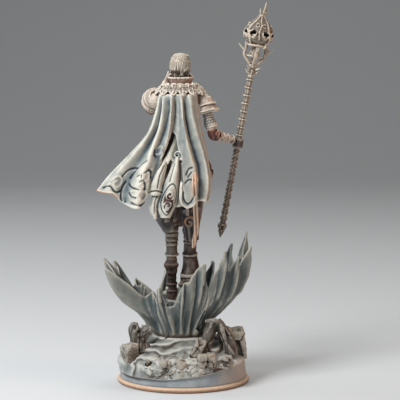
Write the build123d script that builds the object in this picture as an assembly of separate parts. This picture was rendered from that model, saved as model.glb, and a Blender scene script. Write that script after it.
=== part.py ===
from build123d import *
import os
from math import cos, pi, radians, sin

# A caped mage with a tall staff, carried on a jet inside a crown of splash blades, on a round plinth.
# It is a cast display kit: every piece is glued to its neighbour on a flat seat, a peg or a pin.
# Millimetres. Origin at the centre of the plinth's underside, +Z up, +Y the way the mage looks,
# so that +X is the mage's right, where the staff is.

# Plinth
plinth_radius = 25.0  # outside of the rim bead
rim_height = 1.9
rim_set_back = 1.0  # from the bead's outside to the drum's foot
drum_height = 6.9
drum_taper = 0.8  # the drum's top is this much smaller in radius than its foot

# Ground cast that caps the plinth
ground_rise = 9.2  # from the plinth's top to the flat under the splash
ground_lip = 0.6  # how far the ground laps out over the drum
ground_flat_radius = 11.5
glue_gap = 0.06  # between curved or nested glued faces
layer_gap = 0.4  # between the cape's layers, before glue

# Splash crown: its wall flares from root to tips
crown_root_radius = 9.5
crown_wall = 1.3
crown_centre = (-1.5, -0.5)

# Jet under the feet, and the pins
jet_height = 12.6
jet_radius = 4.6
jet_top_radius = 3.9
pin_radius = 0.75
pin_clearance = 0.03
toe_peg_radius = 0.45
toe_peg_length = 1.6

# Figure
cloth_wall = 0.9
plate_wall = 0.6
arm_radius = 1.75
fist_radius = 2.3
fist_height = 3.4
neck_radius = 2.1
hair_thickness = 0.55
peg_radius = 0.8
peg_length = 1.5

# Staff
staff_lean = 11.3  # degrees from upright, towards +X
staff_radius = 0.95
staff_ring_radius = 1.35
staff_ring_pitch = 3.05
staff_ring_count = 8
staff_above_fist = 24.4
staff_below_fist = 26.2
ferrule_length = 8.6
bulb_radius = 6.0
bulb_wall = 0.9

plinth_top = rim_height + drum_height
ground_top = plinth_top + ground_rise
toe_z = ground_top + jet_height  # the plane that both boots stand on
drum_radius = plinth_radius - rim_set_back

pieces = {}


def at(x, y, rise):
    """A point of the figure: rise is measured from the plane under the toes."""
    return Vector(x, y, toe_z + rise)


def flesh(stations):
    """A smooth limb through level ellipses: (centre, half width, half depth)."""
    return loft([Pos(*centre) * Ellipse(wide, deep) for centre, wide, deep in stations])


def limb(stations, start=None, end=None):
    """A smooth limb through ellipses set square to its run: (centre, half width, half depth).

    start and end are the directions that the two end faces look along, where they aren't the run's own.
    """
    centres = [station[0] for station in stations]
    last = len(centres) - 1
    faces = []
    for i, (centre, wide, deep) in enumerate(stations):
        run = centres[min(i + 1, last)] - centres[max(i - 1, 0)]
        if i == 0 and start is not None:
            run = start
        if i == last and end is not None:
            run = end
        faces.append(Plane(centre, z_dir=run) * Ellipse(wide, deep))
    return loft(faces)


def closed_skin(triangles):
    return Solid(Shell([Face(Wire.make_polygon(corners, close=True)) for corners in triangles]))


def thick_sheet(grid, wall):
    """A closed sheet: grid is the outer face, row by row, and the inner face lies wall behind it."""
    rows, columns = len(grid), len(grid[0])

    def inner(i, j):
        down = grid[min(i + 1, rows - 1)][j] - grid[max(i - 1, 0)][j]
        across = grid[i][min(j + 1, columns - 1)] - grid[i][max(j - 1, 0)]
        return grid[i][j] - down.cross(across).normalized() * wall

    back = [[inner(i, j) for j in range(columns)] for i in range(rows)]
    triangles = []

    def quad(a, b, c, d):
        triangles.extend([(a, b, c), (a, c, d)])

    for i in range(rows - 1):
        for j in range(columns - 1):
            quad(grid[i][j], grid[i + 1][j], grid[i + 1][j + 1], grid[i][j + 1])
            quad(back[i][j], back[i][j + 1], back[i + 1][j + 1], back[i + 1][j])
    for i in range(rows - 1):
        quad(grid[i][0], back[i][0], back[i + 1][0], grid[i + 1][0])
        quad(grid[i][-1], grid[i + 1][-1], back[i + 1][-1], back[i][-1])
    for j in range(columns - 1):
        quad(grid[0][j], grid[0][j + 1], back[0][j + 1], back[0][j])
        quad(grid[-1][j], back[-1][j], back[-1][j + 1], grid[-1][j + 1])
    return closed_skin(triangles)


def blend(table, t):
    """Reads a list of equal-length tuples at t from 0 to 1, joined by smooth curves."""
    place = t * (len(table) - 1)
    i = min(int(place), len(table) - 2)
    s = place - i
    s0, s1 = table[max(i - 1, 0)], table[i]
    s2, s3 = table[i + 1], table[min(i + 2, len(table) - 1)]

    def curve(a, b, c, d):
        return b + 0.5 * s * (c - a + s * (2 * a - 5 * b + 4 * c - d + s * (3 * (b - c) + d - a)))

    return tuple(curve(*values) for values in zip(s0, s1, s2, s3))


def rock(centre, size, turn, chops):
    """A boulder: a turned box with corners chopped off. chops are (direction, share kept)."""
    stone = Rot(*turn) * Box(*size)
    reach = Vector(*size).length / 2
    for direction, kept in chops:
        way = Vector(*direction).normalized()
        stone = split(stone, Plane(way * reach * kept, z_dir=way), keep=Keep.BOTTOM)
    return Pos(*centre) * stone


# ---------------------------------------------------------------- plinth and ground


def make_plinth():
    foot = plinth_radius - rim_height / 2
    top_radius = drum_radius - drum_taper
    bead = ThreePointArc((foot, 0), (plinth_radius, rim_height / 2), (foot, rim_height))
    rest = Polyline(
        (foot, rim_height), (drum_radius, rim_height), (top_radius, plinth_top), (0, plinth_top), (0, 0), (foot, 0)
    )
    turned = revolve(make_face(Plane.XZ * (bead + rest)), Axis.Z)
    return turned


def pin_bore(low, high):
    """The drilled hole for the main pin, between two heights."""
    height = high - low
    bore = Cylinder(pin_radius + pin_clearance, height, align=(Align.CENTER, Align.CENTER, Align.MIN))
    return Pos(jet_x, jet_y, low) * bore


jet_x, jet_y = -2.2, 2.4
pin_foot = rim_height  # the pin stops here, above the plinth's underside
pin_head = ground_top + jet_height * 0.6
boulder_seat = ground_top - 3.0


def make_ground():
    """A mound that caps the drum and laps over it at the front and left, under a slanted lower edge."""
    lap = drum_height * 0.75
    bore_top = drum_radius - drum_taper + glue_gap
    bore_low = bore_top + drum_taper * lap / drum_height
    skirt = drum_radius + ground_lip
    slope = Spline(
        (skirt - 0.3, plinth_top),
        (skirt - 2.4, plinth_top + ground_rise * 0.26),
        (skirt - 7.0, plinth_top + ground_rise * 0.55),
        (ground_flat_radius, ground_top),
    )
    rest = Polyline(
        (ground_flat_radius, ground_top),
        (0, ground_top),
        (0, plinth_top),
        (bore_top, plinth_top),
        (bore_low, plinth_top - lap),
        (skirt, plinth_top - lap),
        (skirt - 0.3, plinth_top),
    )
    mound = revolve(make_face(Plane.XZ * (slope + rest)), Axis.Z)
    lower_edge = Plane((0, 0, plinth_top - 1.4), z_dir=(-0.11, -0.085, 1))
    mound = split(mound, lower_edge, keep=Keep.TOP)
    return mound - pin_bore(plinth_top - 1, ground_top + 1)


plinth = make_plinth() - pin_bore(pin_foot, plinth_top + 1)
pieces["plinth"] = plinth
ground = make_ground()

# ---------------------------------------------------------------- rocks, sunk in seats cut in the ground

rocks = {
    "boulder_left": rock(
        (-19.6, -12.6, plinth_top + 4.0),
        (5.6, 4.8, 6.2),
        (8, -6, 24),
        [((1, 1, 1), 0.62), ((-1, -1, 1), 0.66), ((-1, 0.4, -1), 0.7)],
    ),
    "slab_front": rock(
        (4.6, -17.6, plinth_top + 4.4),
        (3.2, 3.6, 12.0),
        (-14, 24, 12),
        [((1, -1, 1), 0.78), ((-1, 0.4, 1), 0.8)],
    ),
    "block_front": rock(
        (8.6, -19.6, plinth_top + 1.9),
        (6.4, 4.6, 6.4),
        (6, 4, 14),
        [((1, -1, 1), 0.66), ((-1, -1, -0.6), 0.72), ((-1, 1, 1), 0.7)],
    ),
    "crag_right_low": rock(
        (16.6, -5.8, plinth_top + 6.4),
        (4.4, 4.2, 10.8),
        (6, -8, 32),
        [((1, -1, 1.4), 0.7), ((-1, 0, 1.6), 0.78)],
    ),
    "crag_right_high": rock(
        (20.6, -1.6, plinth_top + 5.9),
        (4.2, 7.2, 11.4),
        (-4, -4, 12),
        [((0.4, -1, 1.6), 0.72), ((-1, 1, 1.2), 0.78)],
    ),
}
rocks_back = [
    rock((3.0, 18.4, plinth_top + 4.2), (9.0, 5.4, 7.4), (10, 6, 18), [((1, 1, 1), 0.66), ((-1, -1, 1), 0.72)]),
    rock((-14.2, 13.4, plinth_top + 4.8), (4.6, 4.4, 9.4), (-8, 12, 40), [((1, -1, 1.4), 0.72)]),
]


def make_stump():
    """A broken trunk leaning to the left, with a stub of a branch to the right."""
    root = Vector(-15.6, -9.0, plinth_top + 3.6)
    run = [Vector(0, 0, 0), Vector(-1.2, 0.3, 4.0), Vector(-2.8, 0.5, 7.4), Vector(-2.6, 0.4, 11.2)]
    trunk = limb([(root + step, wide, deep) for step, wide, deep in zip(run, (3.6, 2.7, 2.3, 1.4), (3.0, 2.2, 1.9, 1.2))])
    branch = limb([(root + Vector(-0.6, 0, 4.0), 1.9, 1.8), (root + Vector(4.2, -0.4, 9.6), 1.1, 1.0)])
    return trunk + branch


def make_root_arch():
    """A thick root that stands out of the ground, bows over and runs back into it."""
    top = plinth_top + 15.4
    rising = [
        (Vector(8.4, -13.2, plinth_top + 3.4), 2.5, 2.1),
        (Vector(9.6, -11.6, plinth_top + 10.6), 2.2, 1.9),
        (Vector(12.6, -10.6, top), 2.3, 2.0),
    ]
    falling = [
        (Vector(17.8, -12.2, plinth_top + 2.8), 2.5, 2.1),
        (Vector(16.2, -11.4, plinth_top + 10.6), 2.2, 1.9),
        (Vector(12.0, -10.4, top), 2.3, 2.0),
    ]
    return limb(rising) + limb(falling)


rocks["stump_left"] = make_stump()
rocks["root_arch"] = make_root_arch()

# Loose rubble: place across, place along, size
rubble_spots = [
    (-6.0, -21.6, 3.0),
    (-0.6, -21.4, 3.6),
    (16.2, -17.6, 3.4),
    (-12.6, -18.8, 2.8),
    (-20.8, 4.0, 3.4),
    (18.4, 11.0, 3.6),
    (-7.0, 20.4, 3.2),
    (12.4, 17.8, 3.0),
]
rubble = []
for i, (x, y, size) in enumerate(rubble_spots):
    place = (x, y, plinth_top + 0.8 + size * 0.25)
    rubble.append(rock(place, (size, size * 0.8, size * 0.7), (20 + 31 * i, 14 * i, 47 * i), [((1, 1, 1), 0.7)]))

# ---------------------------------------------------------------- splash crown

# Each blade run: (bearing in degrees from +X, tip radius, tip rise above the ground flat).
# Peaks and troughs take turns, and the wall's top edge runs through them.
crown_seams = {
    "splash_front": (238, 309.5),
    "splash_right": (309.5, 374.5),
    "splash_back": (374.5, 482.5),
    "splash_left": (482.5, 598),
}
crown_runs = {
    "splash_front": [
        (237, 15.0, 13.0),
        (246, 18.0, 20.0),
        (254, 14.5, 13.2),
        (261, 14.0, 12.8),
        (268, 15.0, 17.6),
        (275, 16.5, 21.8),
        (282, 16.6, 20.0),
        (292, 17.0, 24.2),
        (302, 19.0, 28.4),
        (310, 17.2, 19.4),
    ],
    "splash_right": [
        (309, 17.2, 19.4),
        (317, 19.0, 26.0),
        (324, 21.2, 33.2),
        (331, 20.8, 25.0),
        (338, 24.0, 30.8),
        (345, 22.6, 26.0),
        (353, 27.2, 33.6),
        (360, 24.2, 28.0),
        (367, 25.8, 38.6),
        (375, 22.0, 25.0),
    ],
    "splash_back": [
        (374, 22.0, 25.0),
        (386, 22.4, 33.0),
        (396, 17.8, 19.0),
        (410, 19.6, 25.6),
        (424, 16.0, 16.0),
        (438, 18.6, 23.0),
        (452, 16.0, 15.0),
        (466, 20.6, 21.4),
        (483, 17.0, 13.0),
    ],
    "splash_left": [
        (482, 17.0, 13.0),
        (498, 22.6, 19.0),
        (510, 18.4, 13.4),
        (524, 25.8, 26.8),
        (531, 23.6, 22.0),
        (539, 28.2, 28.6),
        (548, 22.6, 20.6),
        (558, 28.6, 26.2),
        (574, 15.2, 15.4),
        (586, 13.6, 17.8),
        (599, 15.0, 13.0),
    ],
}
crown_rows = 9
# How the wall opens from root (0) to tip (1), at even steps of its height
bowls = {
    "splash_front": [(0,), (0.14,), (0.36,), (0.60,), (0.80,), (0.92,), (1,)],
    "splash_right": [(0,), (0.16,), (0.52,), (0.82,), (0.95,), (1.0,), (1,)],
    "splash_back": [(0,), (0.14,), (0.38,), (0.64,), (0.84,), (0.94,), (1,)],
    "splash_left": [(0,), (0.17,), (0.36,), (0.66,), (0.84,), (0.93,), (1,)],
}


def crown_grid(run, bowl):
    """Wall rows from the tips down to the root."""
    grid = []
    for i in range(crown_rows):
        s = i / (crown_rows - 1)
        row = []
        for bearing, reach, rise in run:
            radius = crown_root_radius + (reach - crown_root_radius) * blend(bowl, s)[0]
            angle = radians(bearing)
            row.append(
                Vector(
                    crown_centre[0] + radius * cos(angle),
                    crown_centre[1] + radius * sin(angle),
                    ground_top + glue_gap + rise * s,
                )
            )
        grid.append(row)
    return list(reversed(grid))


def trim_to_wedge(wall, start, stop):
    """Trims a crown piece to its own wedge, so that it meets its neighbours on flat glued faces."""
    for bearing, way in ((start, -1), (stop, 1)):
        angle = radians(bearing)
        side = Vector(-sin(angle), cos(angle), 0) * way
        seam = Plane(Vector(*crown_centre, 0) - side * glue_gap / 2, z_dir=side)
        wall = split(wall, seam, keep=Keep.BOTTOM)
    return wall


crown = {}
for name, run in crown_runs.items():
    wall = thick_sheet(crown_grid(run, bowls[name]), crown_wall)
    crown[name] = trim_to_wedge(wall, crown_seams[name][0], crown_seams[name][1])

# ---------------------------------------------------------------- jet and main pin


def make_jet():
    spread = jet_radius + 0.5
    column = flesh(
        [
            (Vector(jet_x, jet_y, ground_top), spread, spread),
            (Vector(jet_x, jet_y, ground_top + jet_height * 0.35), jet_radius * 0.82, jet_radius * 0.82),
            (Vector(jet_x, jet_y, toe_z), jet_top_radius, jet_top_radius),
        ]
    )
    return column - pin_bore(ground_top - 1, pin_head)


jet = make_jet()
pieces["main_pin"] = Pos(jet_x, jet_y, pin_foot) * Cylinder(
    pin_radius, pin_head - pin_foot, align=(Align.CENTER, Align.CENTER, Align.MIN)
)

# ---------------------------------------------------------------- legs and boots

legs = {
    "left": {
        "hip": (-4.5, 0.0, 49.4),
        "knee": (-4.3, 1.9, 28.2),
        "ankle": (-4.3, 0.2, 15.2),
        "toe": (-4.4, 3.4),
        "calf": 2.25,
        "cuff": 2.5,
        "cuff_share": 0.86,
    },
    "right": {
        "hip": (2.5, 0.0, 49.4),
        "knee": (2.7, 2.6, 25.6),
        "ankle": (2.5, 0.4, 10.4),
        "toe": (0.8, 4.0),
        "calf": 2.3,
        "cuff": 3.4,
        "cuff_share": 1.08,
    },
}


def part_way(a, b, t):
    return a + (b - a) * t


def make_leg(side):
    """Thigh, knee guard, greave and boot, end to end. Gives back the toe peg's socket."""
    leg = legs[side]
    hip, knee, ankle = (at(*leg[joint]) for joint in ("hip", "knee", "ankle"))
    above, below = part_way(knee, hip, 0.14), part_way(knee, ankle, 0.16)
    cuff = part_way(knee, ankle, leg["cuff_share"])
    pieces[f"thigh_{side}"] = flesh(
        [(hip, 2.85, 3.5), (part_way(hip, knee, 0.4), 3.2, 3.5), (part_way(hip, knee, 0.7), 3.1, 3.2), (above, 2.35, 2.5)]
    )
    pieces[f"knee_{side}"] = flesh([(above, 2.5, 2.7), (knee + Vector(0, 0.3, 0), 2.5, 2.9), (below, 2.2, 2.4)])
    neck = part_way(below, cuff, 0.62)
    pieces[f"greave_{side}"] = flesh(
        [
            (below, 2.1, 2.3),
            (part_way(below, cuff, 0.34), leg["calf"], leg["calf"] + 0.2),
            (neck, leg["calf"] - 0.15, leg["calf"]),
            (cuff, leg["cuff"], leg["cuff"]),
        ]
    )
    toe = Vector(*leg["toe"], toe_z)
    heel_back = Vector(0, -1.5, 0)
    boot = flesh(
        [
            (cuff, 1.9, 2.0),
            (part_way(toe, cuff, 0.86) + heel_back * 0.6, 2.1, 2.9),
            (part_way(toe, cuff, 0.70) + heel_back * 0.5, 2.15, 2.7),
            (part_way(toe, cuff, 0.48), 1.8, 1.8),
            (part_way(toe, cuff, 0.24), 2.1, 1.7),
            (toe + Vector(0, -0.3, 0), 1.1, 1.3),
        ]
    )
    peg = Cylinder(toe_peg_radius, toe_peg_length + 1, align=(Align.CENTER, Align.CENTER, Align.MAX))
    pieces[f"boot_{side}"] = boot + Pos(toe.X, toe.Y - 0.6, toe_z + 1) * peg
    bore = Cylinder(
        toe_peg_radius + pin_clearance, toe_peg_length + 0.2, align=(Align.CENTER, Align.CENTER, Align.MAX)
    )
    return Pos(toe.X, toe.Y - 0.6, toe_z) * bore


for side in legs:
    jet = jet - make_leg(side)
pieces["splash_jet"] = jet

# ---------------------------------------------------------------- body

body_x = -1.0
hips_rise, belt_rise, waist_rise, neck_rise = 49.4, 55.4, 57.8, 80.6
belt_depth = 4.0
clasp_forward = 6.8


def body_point(rise, forward=0.0):
    return at(body_x, forward, rise)


def make_body():
    pieces["hips"] = flesh(
        [
            (body_point(hips_rise), 6.0, 3.9),
            (body_point(52.4), 6.0, 4.1),
            (body_point(belt_rise), 4.9, 3.5),
        ]
    )
    pieces["belt"] = flesh(
        [
            (body_point(belt_rise), 5.3, belt_depth),
            (body_point((belt_rise + waist_rise) / 2), 5.4, belt_depth),
            (body_point(waist_rise), 5.2, belt_depth - 0.2),
        ]
    )
    chest = flesh(
        [
            (body_point(waist_rise), 4.5, 3.2),
            (body_point(64.5), 5.4, 3.8),
            (body_point(71.0, 0.2), 6.6, 4.3),
            (body_point(76.6, 0.0), 7.2, 3.6),
            (body_point(79.2, 0.0), 4.6, 2.9),
            (body_point(neck_rise, 0.1), 2.6, 2.5),
        ]
    )
    for way in (-1, 1):
        shoulder = Plane((body_x + way * shoulder_half, 0, 0), z_dir=(way, 0, 0))
        chest = split(chest, shoulder, keep=Keep.BOTTOM)
    neck_socket = Cylinder(peg_radius + pin_clearance, peg_length, align=(Align.CENTER, Align.CENTER, Align.MAX))
    pieces["chest"] = chest - Pos(*body_point(neck_rise, 0.1)) * neck_socket


shoulder_half = 6.6
make_body()


def skull(grow, back, low):
    """The head's outline from a height over the neck's foot, grown outward and set back."""
    stations = [
        (3.4, 0.9, 2.8, 3.4),
        (5.6, 0.5, 3.5, 4.4),
        (8.2, 0.1, 3.8, 4.7),
        (10.8, -0.1, 3.2, 3.9),
        (12.1, -0.2, 1.2, 1.5),
    ]
    return [
        (body_point(neck_rise + up + grow * (up > 11), forward - back), wide + grow, deep + grow)
        for up, forward, wide, deep in stations
        if up > low
    ]


def make_head():
    """Neck, skull and jaw as one casting, on a peg."""
    neck = [
        (body_point(neck_rise, 0.1), neck_radius, neck_radius),
        (body_point(neck_rise + 2.4, 0.3), neck_radius, neck_radius),
    ]
    peg = Cylinder(peg_radius, peg_length, align=(Align.CENTER, Align.CENTER, Align.MAX))
    return flesh(neck + skull(0, 0, 0)) + Pos(*body_point(neck_rise + 0.2, 0.1)) * peg


def make_hair():
    """A cap of hair over the skull, open at the face."""
    cap = flesh([(body_point(neck_rise + 3.3, 0.0), 2.5, 3.0)] + skull(hair_thickness, 0.25, 5))
    hairline = Plane(body_point(neck_rise + 9.0, 1.6), z_dir=(0, 1, -0.5))
    cap = split(cap, hairline, keep=Keep.BOTTOM)
    return cap - pieces["head"]


pieces["head"] = make_head()
pieces["hair"] = make_hair()

# ---------------------------------------------------------------- collar, mantle and pauldrons


def ring_row(centre, wide, deep, rise, start, stop, count, tips=0.0):
    """Points on a level ellipse from one bearing to the other. tips lifts and spreads the two ends."""
    row = []
    for j in range(count):
        share = j / (count - 1)
        angle = radians(start + (stop - start) * share)
        end = abs(2 * share - 1) ** 6 * tips
        row.append(
            at(centre[0] + (wide + 0.35 * end) * cos(angle), centre[1] + (deep + 0.35 * end) * sin(angle), rise + end)
        )
    return row


neck_centre = (body_x, 0.0)
collar_rows = [
    ring_row(neck_centre, 4.9, 4.9, 84.4, 120, 420, 21, 2.2),
    ring_row(neck_centre, 4.4, 4.5, 82.6, 120, 420, 21, 0.8),
    ring_row(neck_centre, 4.2, 4.3, 80.6, 120, 420, 21),
]
pieces["collar"] = thick_sheet(collar_rows, plate_wall)
mantle_rows = [
    ring_row(neck_centre, 4.9, 5.0, 82.2, 108, 432, 25),
    ring_row(neck_centre, 7.0, 6.1, 81.2, 108, 432, 25),
    ring_row(neck_centre, 9.4, 6.9, 79.4, 108, 432, 25),
]
pieces["mantle"] = thick_sheet(mantle_rows, cloth_wall)


def arm_plate(centre, axis, out, half_open, upper_radius, lower_radius, length, point):
    """One lame: a flared half cone round an arm, open on the far side from out, with a pointed lower edge.

    centre is on the arm at the lame's lower edge, and axis looks up the arm.
    """
    frame = Plane(centre, x_dir=out, z_dir=axis)
    count = 13
    middle_radius = (upper_radius + lower_radius) / 2 - 0.15
    grid = []
    for up, radius, tip in ((length, upper_radius, 0), (length / 2, middle_radius, 0), (0, lower_radius, point)):
        row = []
        for j in range(count):
            angle = radians(-half_open + 2 * half_open * j / (count - 1))
            reach = radius + tip * max(0.0, cos(2 * angle)) * (abs(angle) < pi / 4)
            row.append(frame.from_local_coords(Vector(reach * cos(angle), reach * sin(angle), up)))
        grid.append(row)
    return thick_sheet(grid, plate_wall)


right_shoulder = at(7.8, -0.2, 76.6)
right_elbow = at(11.4, -1.2, 62.6)
right_wrist = at(18.6, 5.0, 60.6)
staff_through_fist = at(20.8, 6.6, 59.2)
left_shoulder = at(-10.2, 0.2, 75.6)
left_elbow = at(-12.4, 8.6, 71.6)
left_wrist = at(-6.4, 14.0, 76.4)

# Lames from the shoulder down: (share of the way to the elbow, upper radius, lower radius, length, point)
pauldron_lames = {
    "right": [
        (0.02, 2.8, 3.4, 1.6, 0.3),
        (0.15, 2.8, 3.6, 2.3, 0.3),
        (0.28, 2.9, 3.8, 2.3, 0.5),
        (0.39, 3.1, 4.0, 2.0, 0.7),
    ],
    "left": [(0.12, 2.8, 3.6, 2.2, 0.0), (0.32, 3.0, 3.9, 2.4, 0.0), (0.52, 3.2, 4.1, 2.4, 0.0)],
}


def make_pauldron(side, shoulder, elbow, out, half_open):
    axis = (shoulder - elbow).normalized()
    out = (out - axis * out.dot(axis)).normalized()
    lames = []
    for share, upper_radius, lower_radius, length, point in pauldron_lames[side]:
        centre = shoulder + (elbow - shoulder) * share
        lames.append(arm_plate(centre, axis, out, half_open, upper_radius, lower_radius, length, point))
    return Compound(lames)


pieces["pauldron_right"] = make_pauldron("right", right_shoulder, right_elbow, Vector(1, -0.2, 0.1), 116)
pieces["pauldron_left"] = make_pauldron("left", left_shoulder, left_elbow, Vector(-0.95, 0, 0.3), 98)

# ---------------------------------------------------------------- arms and hands


def make_arm(side, shoulder, elbow, wrist, thick):
    """Sleeve, elbow guard and bracer, end to end on shared flat faces."""
    way = 1 if side == "right" else -1
    seam = Vector(body_x + way * (shoulder_half + glue_gap), shoulder.Y, shoulder.Z)
    near, far = part_way(elbow, shoulder, 0.16), part_way(elbow, wrist, 0.22)
    upper_arm, forearm = elbow - shoulder, wrist - elbow
    pieces[f"sleeve_{side}"] = limb(
        [
            (seam, 1.5, 1.6),
            (part_way(seam, shoulder, 0.8), arm_radius, arm_radius),
            (part_way(shoulder, elbow, 0.3), arm_radius, arm_radius),
            (part_way(shoulder, elbow, 0.62), thick, thick),
            (near, 1.7, 1.7),
        ],
        start=Vector(way, 0, 0),
        end=upper_arm,
    )
    bend = part_way(elbow, part_way(near, far, 0.5), 0.35)
    pieces[f"elbow_{side}"] = limb([(near, 1.8, 1.85), (bend, 2.1, 2.1), (far, 1.75, 1.75)], upper_arm, forearm)
    pieces[f"bracer_{side}"] = limb(
        [(far, 1.6, 1.65), (part_way(elbow, wrist, 0.55), 1.75, 1.6), (wrist, 1.15, 1.2)], forearm, forearm
    )


make_arm("right", right_shoulder, right_elbow, right_wrist, 2.2)
make_arm("left", left_shoulder, left_elbow, left_wrist, 1.8)

lean = radians(staff_lean)
staff_frame = Plane(staff_through_fist, x_dir=Vector(cos(lean), 0, -sin(lean)), z_dir=Vector(sin(lean), 0, cos(lean)))


def make_fist():
    """The right fist, closed on the staff: a socket above and below takes the two shafts."""
    fist = Cylinder(fist_radius, fist_height)
    for way in (-1, 1):
        socket = Cylinder(staff_radius * 0.7 + pin_clearance, peg_length)
        fist = fist - Pos(0, 0, way * (fist_height - peg_length) / 2) * socket
    hand = staff_frame * fist
    wrist_run = staff_through_fist - right_wrist
    stub_end = right_wrist + wrist_run * 0.35
    stub = limb([(right_wrist, 1.1, 1.15), (stub_end, 1.3, 1.3)], start=right_wrist - right_elbow)
    return hand + stub


pieces["fist_right"] = make_fist()


def make_open_hand():
    """The left hand, raised and open: palm, four fingers and a thumb."""
    run = (left_wrist - left_elbow).normalized()
    palm_end = left_wrist + run * 3.2
    palm = limb([(left_wrist, 1.0, 1.1), (left_wrist + run * 1.8, 1.7, 0.9), (palm_end, 1.8, 0.75)], start=run)
    frame = Plane(palm_end, z_dir=run)
    for k in range(4):
        across = (k - 1.5) * 0.85
        length = 3.0 - 0.35 * abs(k - 1.3)
        finger = Cone(0.42, 0.3, length + 0.6, align=(Align.CENTER, Align.CENTER, Align.MIN))
        palm = palm + frame * Pos(across, 0, -0.6) * Rot(-8 - 5 * k, 3 * (k - 1.5), 0) * finger
    thumb = Cone(0.45, 0.3, 2.8, align=(Align.CENTER, Align.CENTER, Align.MIN))
    return palm + frame * Pos(-1.3, 0, -1.6) * Rot(-12, -48, 0) * thumb


pieces["hand_left"] = make_open_hand()

# ---------------------------------------------------------------- staff, built along its own axis from the fist


def turned(points):
    """A turned solid from (radius, height) points, from the axis out and back to the axis."""
    return revolve(make_face(Plane.XZ * Polyline(*points, points[0])), Axis.Z)


shaft_low = fist_height / 2 + glue_gap
shaft_top = shaft_low + staff_above_fist


def make_upper_shaft():
    profile = [(0, shaft_low - peg_length + 0.1), (staff_radius * 0.7, shaft_low - peg_length + 0.1), (staff_radius * 0.7, shaft_low), (staff_radius, shaft_low)]
    for k in range(staff_ring_count):
        ring = shaft_low + 1.2 + staff_ring_pitch * k
        profile += [
            (staff_radius, ring - 0.45),
            (staff_ring_radius, ring - 0.15),
            (staff_ring_radius, ring + 0.15),
            (staff_radius * 1.1, ring + 0.4),
        ]
    profile += [(staff_radius, shaft_top), (0, shaft_top)]
    return turned(profile)


def make_lower_shaft():
    end = -shaft_low - staff_below_fist
    return turned(
        [
            (0, end),
            (staff_radius * 1.1, end),
            (staff_radius * 1.25, end * 0.62),
            (staff_radius * 1.05, end * 0.3),
            (staff_radius, -shaft_low),
            (staff_radius * 0.7, -shaft_low),
            (staff_radius * 0.7, -shaft_low + peg_length - 0.1),
            (0, -shaft_low + peg_length - 0.1),
        ]
    )


def make_ferrule():
    top = -shaft_low - staff_below_fist - glue_gap
    steps = [(1.15, 0.0), (1.0, 0.25), (1.25, 0.5), (1.2, 0.56), (1.75, 0.66), (1.55, 0.8), (0.75, 0.86), (0.45, 1.0)]
    return turned([(0, top)] + [(radius, top - ferrule_length * share) for radius, share in steps] + [(0, top - ferrule_length)])


cage_low = shaft_top + 3.6  # foot of the cage, over the thorn collar
cage_height = 8.0
bulb_low = cage_low + cage_height
bulb_height = 11.6


def make_thorn_collar():
    """A socket cup on the shaft's end with four hooked thorns."""
    cup = turned([(0, shaft_top + glue_gap), (1.25, shaft_top + glue_gap), (1.55, shaft_top + 1.6), (1.0, cage_low), (0, cage_low)])
    for k in range(4):
        thorn = Rot(0, 0, 45 + 90 * k) * Pos(0.9, 0, shaft_top + 2.2) * Rot(0, 68, 0)
        cup = cup + thorn * Cone(0.5, 0.12, 2.9, align=(Align.CENTER, Align.CENTER, Align.MIN))
    return cup


def make_cage():
    """Six bowed ribs between two rings, with a thorn on every second rib."""
    foot = Pos(0, 0, cage_low + 0.5) * Cylinder(1.3, 1.0 - 2 * glue_gap)
    crown_ring = Pos(0, 0, bulb_low - 0.45) * (Cylinder(3.1, 0.9 - 2 * glue_gap) - Cylinder(2.0, 2))
    cage = foot
    rib_line = [(0.8, 0.5), (3.4, 2.4), (4.1, 4.8), (2.7, cage_height - 0.5)]
    for k in range(6):
        spine = [Vector(radius, 0, cage_low + rise) for radius, rise in rib_line]
        rib = limb([(point, 0.45, 0.45) for point in spine])
        cage = cage + Rot(0, 0, 60 * k) * rib
    cage = cage + crown_ring
    for k in range(4):
        thorn = Rot(0, 0, 90 * k) * Pos(2.8, 0, bulb_low - 0.6) * Rot(0, 80, 0)
        cage = cage + thorn * Cone(0.5, 0.12, 4.2, align=(Align.CENTER, Align.CENTER, Align.MIN))
    return cage


def onion(radius, low, height):
    """An onion outline: widest low down, drawn in to a fine neck."""
    shares = [(0.35, 0.0), (0.82, 0.12), (1.0, 0.32), (0.94, 0.5), (0.62, 0.72), (0.28, 0.88), (0.12, 1.0)]
    rim = [(radius * wide, low + height * up) for wide, up in shares]
    neck = Line(rim[-1], (0, rim[-1][1])) + Line((0, rim[-1][1]), (0, rim[0][1])) + Line((0, rim[0][1]), rim[0])
    return revolve(make_face(Plane.XZ * (Spline(*rim) + neck)), Axis.Z)


def make_bulb():
    """A hollow onion head with four windows."""
    shell = onion(bulb_radius, bulb_low, bulb_height)
    core = onion(bulb_radius - bulb_wall, bulb_low + bulb_wall, bulb_height - 3.2 * bulb_wall)
    shell = shell - core
    for k in range(4):
        window = Pos(bulb_radius, 0, bulb_low + bulb_height * 0.34) * Rot(0, 90, 0) * Cylinder(1.5, bulb_radius * 1.3)
        shell = shell - Rot(0, 0, 45 + 90 * k) * window
    return shell


def make_finial():
    top = bulb_low + bulb_height + glue_gap
    return turned([(0, top), (0.9, top), (1.25, top + 0.9), (0.7, top + 1.5), (0.5, top + 2.0), (0.08, top + 5.0), (0, top + 5.0)])


for name, shape in (
    ("staff_upper_shaft", make_upper_shaft()),
    ("staff_lower_shaft", make_lower_shaft()),
    ("staff_ferrule", make_ferrule()),
    ("staff_thorn_collar", make_thorn_collar()),
    ("staff_cage", make_cage()),
    ("staff_bulb", make_bulb()),
    ("staff_finial", make_finial()),
):
    pieces[name] = staff_frame * shape

# ---------------------------------------------------------------- cape and coat

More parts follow.
